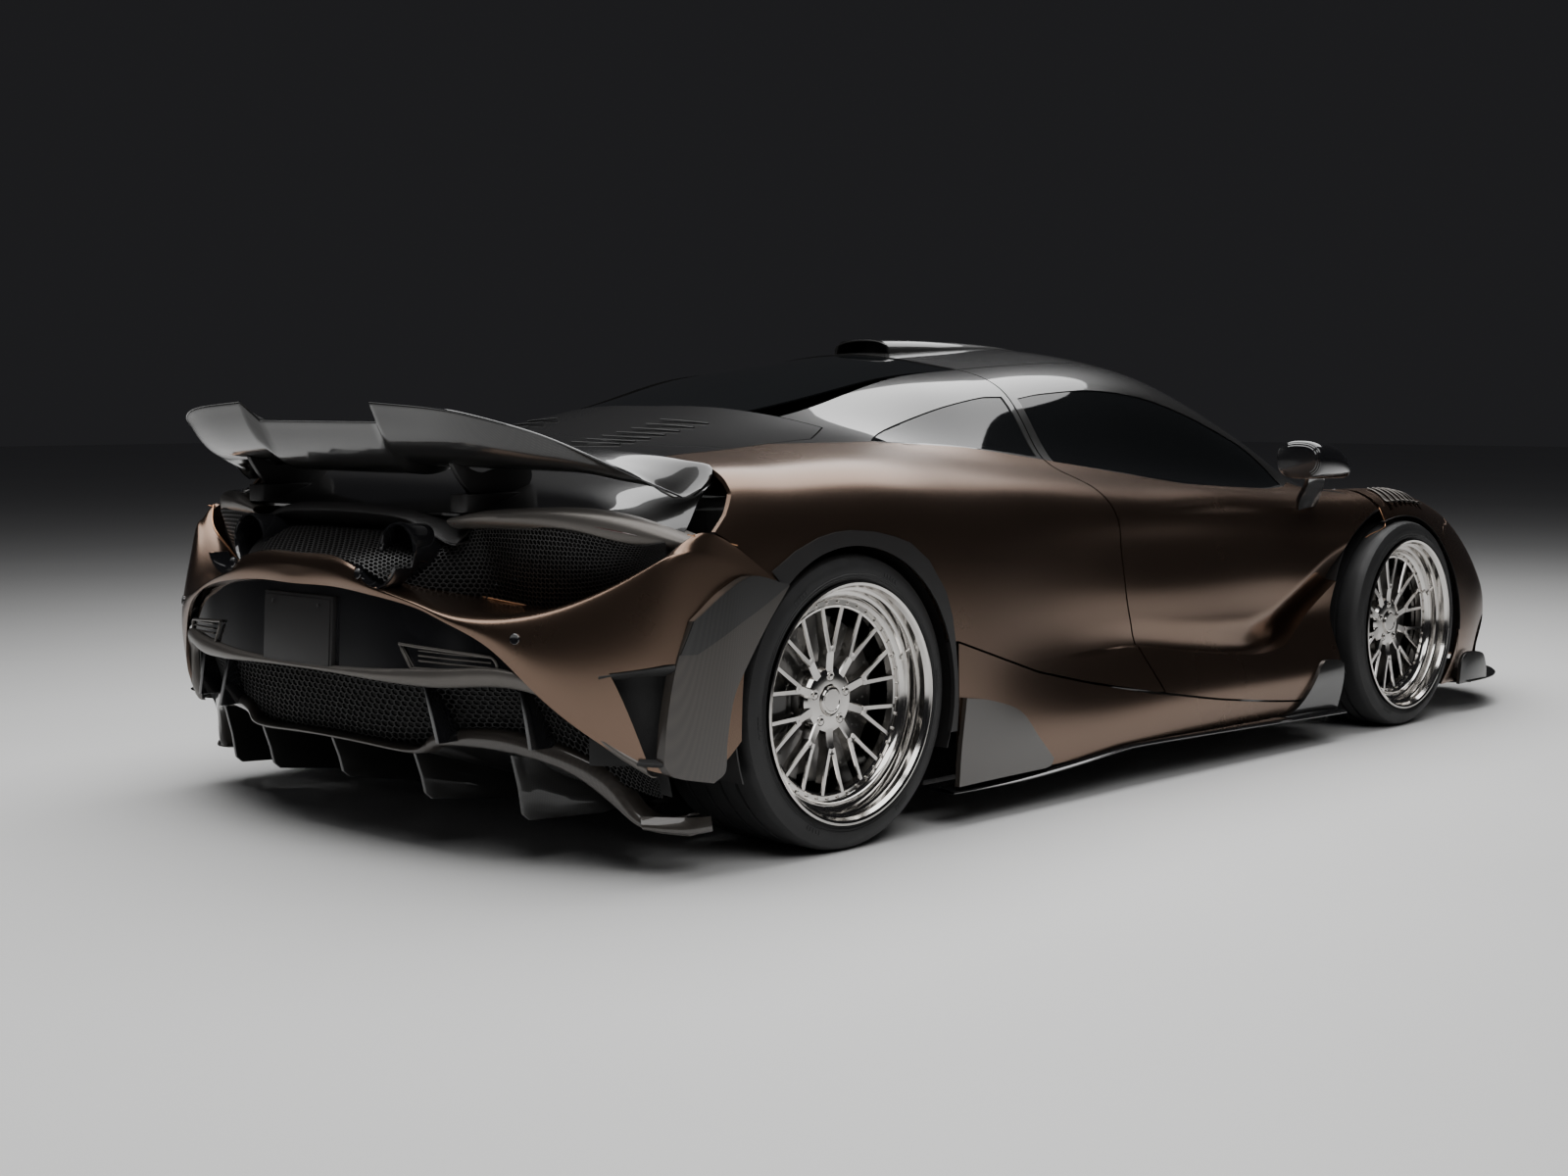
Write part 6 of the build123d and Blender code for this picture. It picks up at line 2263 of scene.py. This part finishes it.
# A matte black sheet just behind the nose mesh: painted shade of the space behind it.
nose_back = [[(t - .022, w, z) for t, w, z in row] for row in NOSE_MESH]
bars = [patch("nose_back", nose_back, 0.004, 61, 9, "matte_black", mirror=True, centre=(1.8, 0, .26))]
for z, deep, material in ((.205, .016, "paint"), (.318, .010, "gloss_black")):
    rows = []
    for dt, dz in (
        (-.050, deep * .8), (-.006, deep), (.004, deep * .4), (.004, -deep * .4), (-.006, -deep),
        (-.050, -deep * .8)
    ):
        rows.append([(3.664 + dt - w * w * .025, w, z + dz) for w in np.linspace(0, .63, 9)])
    bars.append(patch("bar", rows, 0.002, 80, 16, material, mirror=True, centre=(REAR_AXLE + 3.63, 0, z)))
for w in (.40, .42):
    for side in (1, -1):
        shape = [(3.60, .20), (3.668, .20), (3.660, .31), (3.645, .395), (3.60, .40)]
        bars.append(plate("post", shape, "side", w * side - .004, w * side + .004, "gloss_black", .001))
place(merge("nose_grille_bars", *bars), "body", "black_plastic", "front_bumper")
splitter_rows = [
    [
        (3.10, .90, .112), (3.30, .872, .112), (3.50, .76, .112), (3.598, .61, .112), (3.638, .42, .112),
        (3.6495, .22, .112), (3.6525, 0, .112)
    ],
    [
        (3.10, .955, .106), (3.32, .925, .106), (3.53, .80, .106), (3.6155, .64, .106), (3.6535, .44, .106),
        (3.6645, .23, .106), (3.6665, 0, .106)
    ],
    [
        (3.10, .958, .098), (3.32, .928, .098), (3.53, .803, .098), (3.6155, .642, .098), (3.6535, .44, .098),
        (3.6645, .23, .098), (3.6665, 0, .098)
    ],
    [
        (3.05, .86, .094), (3.20, .80, .094), (3.35, .68, .094), (3.42, .53, .094), (3.452, .36, .094),
        (3.46, .19, .094), (3.46, 0, .094)
    ]
]
splitter = patch(
    "splitter_blade", [row[::-1] for row in splitter_rows], 0.003, 161, 17, "carbon", mirror=True,
    centre=(REAR_AXLE + 3.2, 0, .102)
)
tips = []
for side in (1, -1):
    fin = rounded(
        [(3.041, .097), (3.060, .178), (3.10, .200), (3.206, .190), (3.235, .150), (3.240, .097)], steps=5,
        keep=(0, 5)
    )
    tips.append(
        plate("fin", fin, "side", side * .944, side * .956, "carbon", .003) if side > 0
        else plate("fin", fin, "side", -.956, -.944, "carbon", .003)
    )
place(merge("front_splitter_blade", splitter, *tips), "body", "carbon", "front_splitter")
# Side intakes of the front bumper and the lamps' inner parts.
bumper_base = bpy.data.objects["front_bumper_skin"]
intake = both(
    side_cutter(
        rounded(
            [(3.20, .165), (3.47, .160), (3.50, .20), (3.44, .285), (3.33, .300), (3.235, .25)], steps=6,
            keep=(0,)
        ),
        .60, 1.1
    )
)
cut_bumper = carve("cut", bumper_base, [], [intake])
bumper_base.data = cut_bumper.data
drop(cut_bumper)
# A matte black skin set 45 mm behind the bumper's side intakes: painted shade of the space behind them.
deep_skin = whole_body(0.004, 0.045)
room = both(side_cutter([(3.17, .14), (3.53, .14), (3.53, .32), (3.17, .32)], .60, 1.1))
place(
    carve("front_intake_backs", deep_skin, [room], [], ("matte_black",) * 3), "body", "black_plastic",
    "front_bumper"
)
vanes = []
for k in range(3):
    z = .185 + k * .036
    rows = [
        [
            (t, float(np.interp(t, [3.20, 3.35, 3.50], [.893, .835, .762])) - out, z + (t - 3.2) * .02 + dz)
            for t in np.linspace(3.225, 3.475 - k * .02, 8)
        ]
        for out, dz in ((.045, .004), (.012, .0), (.045, -.004))
    ]
    vanes.append(patch("vane", rows, 0.002, 30, 9, "gloss_black", centre=(REAR_AXLE + 3.3, -.5, z)))
place(pair(merge("front_intake_vanes", *vanes)), "body", "black_plastic", "front_bumper")
bowl_skin = whole_body(0.004, 0.028)
lamps = [
    carve(
        "bowl", bowl_skin, [both(prism(offset_outline(HEADLAMP, .004), "top", 0.4, 1.0))], [],
        ("gloss_black",) * 3
    )
]
for side in (1, -1):
    for t, w in ((3.235, .735), (3.290, .718), (3.345, .700)):
        z = grid_at(t, w)
        lamps.append(
            lathe(
                "projector",
                [(0, .0), (0, .017), (.010, .0185), (.014, .0175), (.015, .015), (.018, .010), (.0195, 0)],
                (REAR_AXLE + t - .006, -w * side, z - .028), (.75, -.25 * side, .55), "chrome", 40
            )
        )
    line = [(3.19, .762), (3.245, .713), (3.32, .690), (3.395, .668)]
    lamps.append(
        tube("running_light", world([(t, w * side, grid_at(t, w) - .010) for t, w in line]), .0035, "lens", 8)
    )
place(merge("headlamp_inner", *lamps), "body", "lamp_clear", "headlamps")
lid_lines = []
for side in (1, -1):
    line = [
        (t, w * side, grid_at(t, w) - .001)
        for t, w in zip(
            np.linspace(2.52, 3.14, 30),
            np.interp(np.linspace(2.52, 3.14, 30), [2.52, 2.8, 3.14], [.36, .40, .30])
        )
    ]
    lid_lines.append(tube("crease", world(line), .0045, "paint", 8, flat=.5))
place(merge("front_lid_creases", *lid_lines), "front_lid", "bronze_paint", "front_lid")

# ------------------------------------------------------------------ cabin
def pillow(name, middle, size, lean, material, square=.45, n=28):
    """A soft rounded block: size is its half extents along the seat, across it and through it; lean turns it about the width."""
    verts, faces = [], []
    c, s = math.cos(lean), math.sin(lean)
    for i in range(n + 1):
        a = math.pi * (i / n - .5)
        for k in range(2 * n):
            b = math.pi * k / n
            x = math.copysign(abs(math.cos(a) * math.cos(b)) ** square, math.cos(b)) * size[0]
            y = math.copysign(abs(math.cos(a) * math.sin(b)) ** square, math.sin(b)) * size[1]
            z = math.copysign(abs(math.sin(a)) ** .7, math.sin(a)) * size[2]
            groove = .10 * math.cos(y / size[1] * math.pi * 4.0) * size[2] * (1 if z > 0 else 0) * math.cos(a)
            z += groove * (abs(y) < size[1] * .82)
            verts.append((REAR_AXLE + middle[0] + x * c - z * s, -(middle[1] + y), middle[2] + x * s + z * c))
    for i in range(n):
        for k in range(2 * n):
            a, b = i * 2 * n + k, i * 2 * n + (k + 1) % (2 * n)
            faces.append((a, b, b + 2 * n, a + 2 * n))
    return fix_normals(piece(name, verts, faces, material, 60))


shells, pads = [], []
for w in (.335, -.335):
    up = math.radians(112)
    pads.append(pillow("base", (1.575, w, .300), (.215, .135, .048), math.radians(6), "suede"))
    pads.append(pillow("back", (1.215, w, .555), (.265, .130, .045), up, "suede"))
    for e in (-1, 1):
        pads.append(
            pillow(
                "thigh", (1.590, w + e * .168, .320), (.205, .042, .062), math.radians(6), "leather", .6, 18
            )
        )
        pads.append(pillow("side", (1.262, w + e * .170, .530), (.225, .040, .070), up, "leather", .6, 18))
        pads.append(
            pillow("shoulder", (1.165, w + e * .120, .700), (.085, .055, .045), up, "leather", .6, 16)
        )
    pads.append(pillow("head", (1.098, w, .800), (.058, .095, .040), up, "leather", .55, 18))
    pads.append(pillow("knee", (1.755, w, .305), (.040, .150, .045), math.radians(-8), "leather", .6, 18))
    for row, depth, material in (
        (
            [
                [(1.79, w + e * .21, .262) for e in (-1, -.5, 0, .5, 1)],
                [(1.50, w + e * .22, .225) for e in (-1, -.5, 0, .5, 1)],
                [(1.30, w + e * .22, .270) for e in (-1, -.5, 0, .5, 1)],
                [(1.18, w + e * .215, .500) for e in (-1, -.5, 0, .5, 1)],
                [(1.10, w + e * .19, .700) for e in (-1, -.5, 0, .5, 1)],
                [(1.055, w + e * .13, .845) for e in (-1, -.5, 0, .5, 1)]
            ],
            .012, "carbon"
        ),
    ):
        shells.append(patch("shell", row, depth, 24, 60, material, centre=(REAR_AXLE + 1.7, -w, .9)))
    for e in (-.14, .14):
        shells.append(tube("rail", world([(1.32, w + e, .155), (1.75, w + e, .155)]), .014, "steel", 10))
        shells.append(tube("leg", world([(1.40, w + e, .155), (1.40, w + e, .245)]), .012, "steel", 10))
        shells.append(tube("leg", world([(1.68, w + e, .155), (1.68, w + e, .235)]), .012, "steel", 10))
cushions = merge("seat_cushions", *pads)
place(cushions, "body", "seat_fabric", "seats")
place(merge("seat_shells", *shells), "body", "carbon", "seats")

wheel_at = Vector((REAR_AXLE + 1.900, .335, .640))
column_axis = Vector((-math.cos(math.radians(22)), 0, math.sin(math.radians(22))))
wheel_up = Vector((0, 1, 0)).cross(column_axis) * -1
if wheel_up.z < 0:
    wheel_up = -wheel_up
wheel_side = Vector((0, 1, 0))


def on_wheel(a, b, c=0.0):
    return wheel_at + wheel_side * a + wheel_up * b + column_axis * c


ring = []
for i in range(72):
    a = math.tau * i / 72
    b = math.sin(a) * .175
    ring.append(on_wheel(math.cos(a) * .175, max(b, -.150) if b > -.150 else -.150 - (b + .150) * .15))
spokes = [tube("grip", ring, .0135, "suede", 16, closed=True)]
for a0, a1, b0, b1 in ((.04, .166, .012, .030), (-.04, -.166, .012, .030), (.0, .0, -.04, -.150)):
    spokes.append(
        tube(
            "spoke",
            [on_wheel(a0, b0, .004), on_wheel((a0 + a1) / 2, (b0 + b1) / 2, .001), on_wheel(a1, b1, 0)], .011,
            "satin_grey", 12, flat=.6
        )
    )
spokes.append(
    lathe(
        "hub_pad", [(-.012, 0), (-.012, .044), (.006, .046), (.014, .042), (.018, .030), (.019, 0)], wheel_at,
        column_axis, "leather", 48
    )
)
spokes.append(
    lathe(
        "hub_ring", [(.0155, .030), (.0175, .031), (.0175, .033), (.0150, .034)], wheel_at, column_axis,
        "satin_grey", 48
    )
)
spokes.append(
    lathe(
        "boss", [(-.034, 0), (-.034, .018), (-.012, .018), (-.012, 0)], wheel_at, column_axis, "satin_black",
        32
    )
)
for e in (-1, 1):
    spokes.append(
        tube(
            "paddle",
            [
                on_wheel(e * .055, .03, -.012), on_wheel(e * .105, .045, -.014),
                on_wheel(e * .115, .075, -.014)
            ],
            .006, "gloss_black", 8
        )
    )
place(merge("steering_wheel_detailed", *spokes), "steering_wheel", "seat_fabric", "steering_wheel")


# ------------------------------------------------------------------ finish of the carried-over nodes
def finish_node(names, material):
    for name in names.split():
        o = nodes[name]
        o.data.materials.clear()
        o.data.materials.append(MAT[material])
        for p in o.data.polygons:
            p.use_smooth = True
        split = o.modifiers.new("split", "EDGE_SPLIT")
        split.split_angle = math.radians(35)


finish_node("monocoque", "carbon")
finish_node("hinges suspension knuckle_front_right knuckle_front_left engine", "aluminium")
finish_node("underbody wheel_liners luggage_bin cowl dashboard", "satin_black")
finish_node("subframes", "matte_black")
finish_node("rear_calipers caliper_front_right caliper_front_left", "caliper")

# ------------------------------------------------------------------ studio
for o in list(bpy.data.objects):
    if o.type == "MESH" and o not in list(nodes.values()) and not body_of(o):
        bpy.data.objects.remove(o)

floor_mesh = bpy.data.meshes.new("floor")
floor_mesh.from_pydata([(-40, -40, 0), (40, -40, 0), (40, 40, 0), (-40, 40, 0)], [], [(0, 1, 2, 3)])
floor = bpy.data.objects.new("studio_floor", floor_mesh)
bpy.context.scene.collection.objects.link(floor)
floor_mesh.materials.append(
    node_material("studio_floor", (0.74, 0.74, 0.735), 0.0, 0.5, 0.05, 0.5, 0.1, 20.0)
)


def soft_light(name, where, target, size, energy):
    data = bpy.data.lights.new(name, "AREA")
    data.shape = "RECTANGLE"
    data.size, data.size_y = size
    data.energy = energy
    o = bpy.data.objects.new(name, data)
    o.location = where
    o.rotation_euler = (Vector(target) - Vector(where)).to_track_quat("-Z", "Y").to_euler()
    bpy.context.scene.collection.objects.link(o)


soft_light("overhead", (0.2, 0.2, 4.3), (0.2, 0.2, 0.0), (9.0, 4.6), 520)
soft_light("floor_light", (-3.5, -4.5, 5.0), (-2.5, -3.0, 0.0), (5.0, 3.5), 170)
world = bpy.data.worlds.new("studio")
bpy.context.scene.world = world
world.use_nodes = True
world.node_tree.nodes["Background"].inputs["Color"].default_value = (0.016, 0.016, 0.0175, 1)

camera_data = bpy.data.cameras.new("camera")
camera_data.lens = 50.18
camera_data.sensor_width = 36
camera = bpy.data.objects.new("camera", camera_data)
bpy.context.scene.collection.objects.link(camera)
bpy.context.scene.camera = camera
yaw, pitch = math.radians(43.33), math.radians(-4.985)
camera.location = (REAR_AXLE - 3.736, -4.267, 1.046)
aim = Vector((math.cos(yaw) * math.cos(pitch), math.sin(yaw) * math.cos(pitch), math.sin(pitch)))
camera.rotation_euler = aim.to_track_quat("-Z", "Y").to_euler()

bpy.context.view_layer.update()
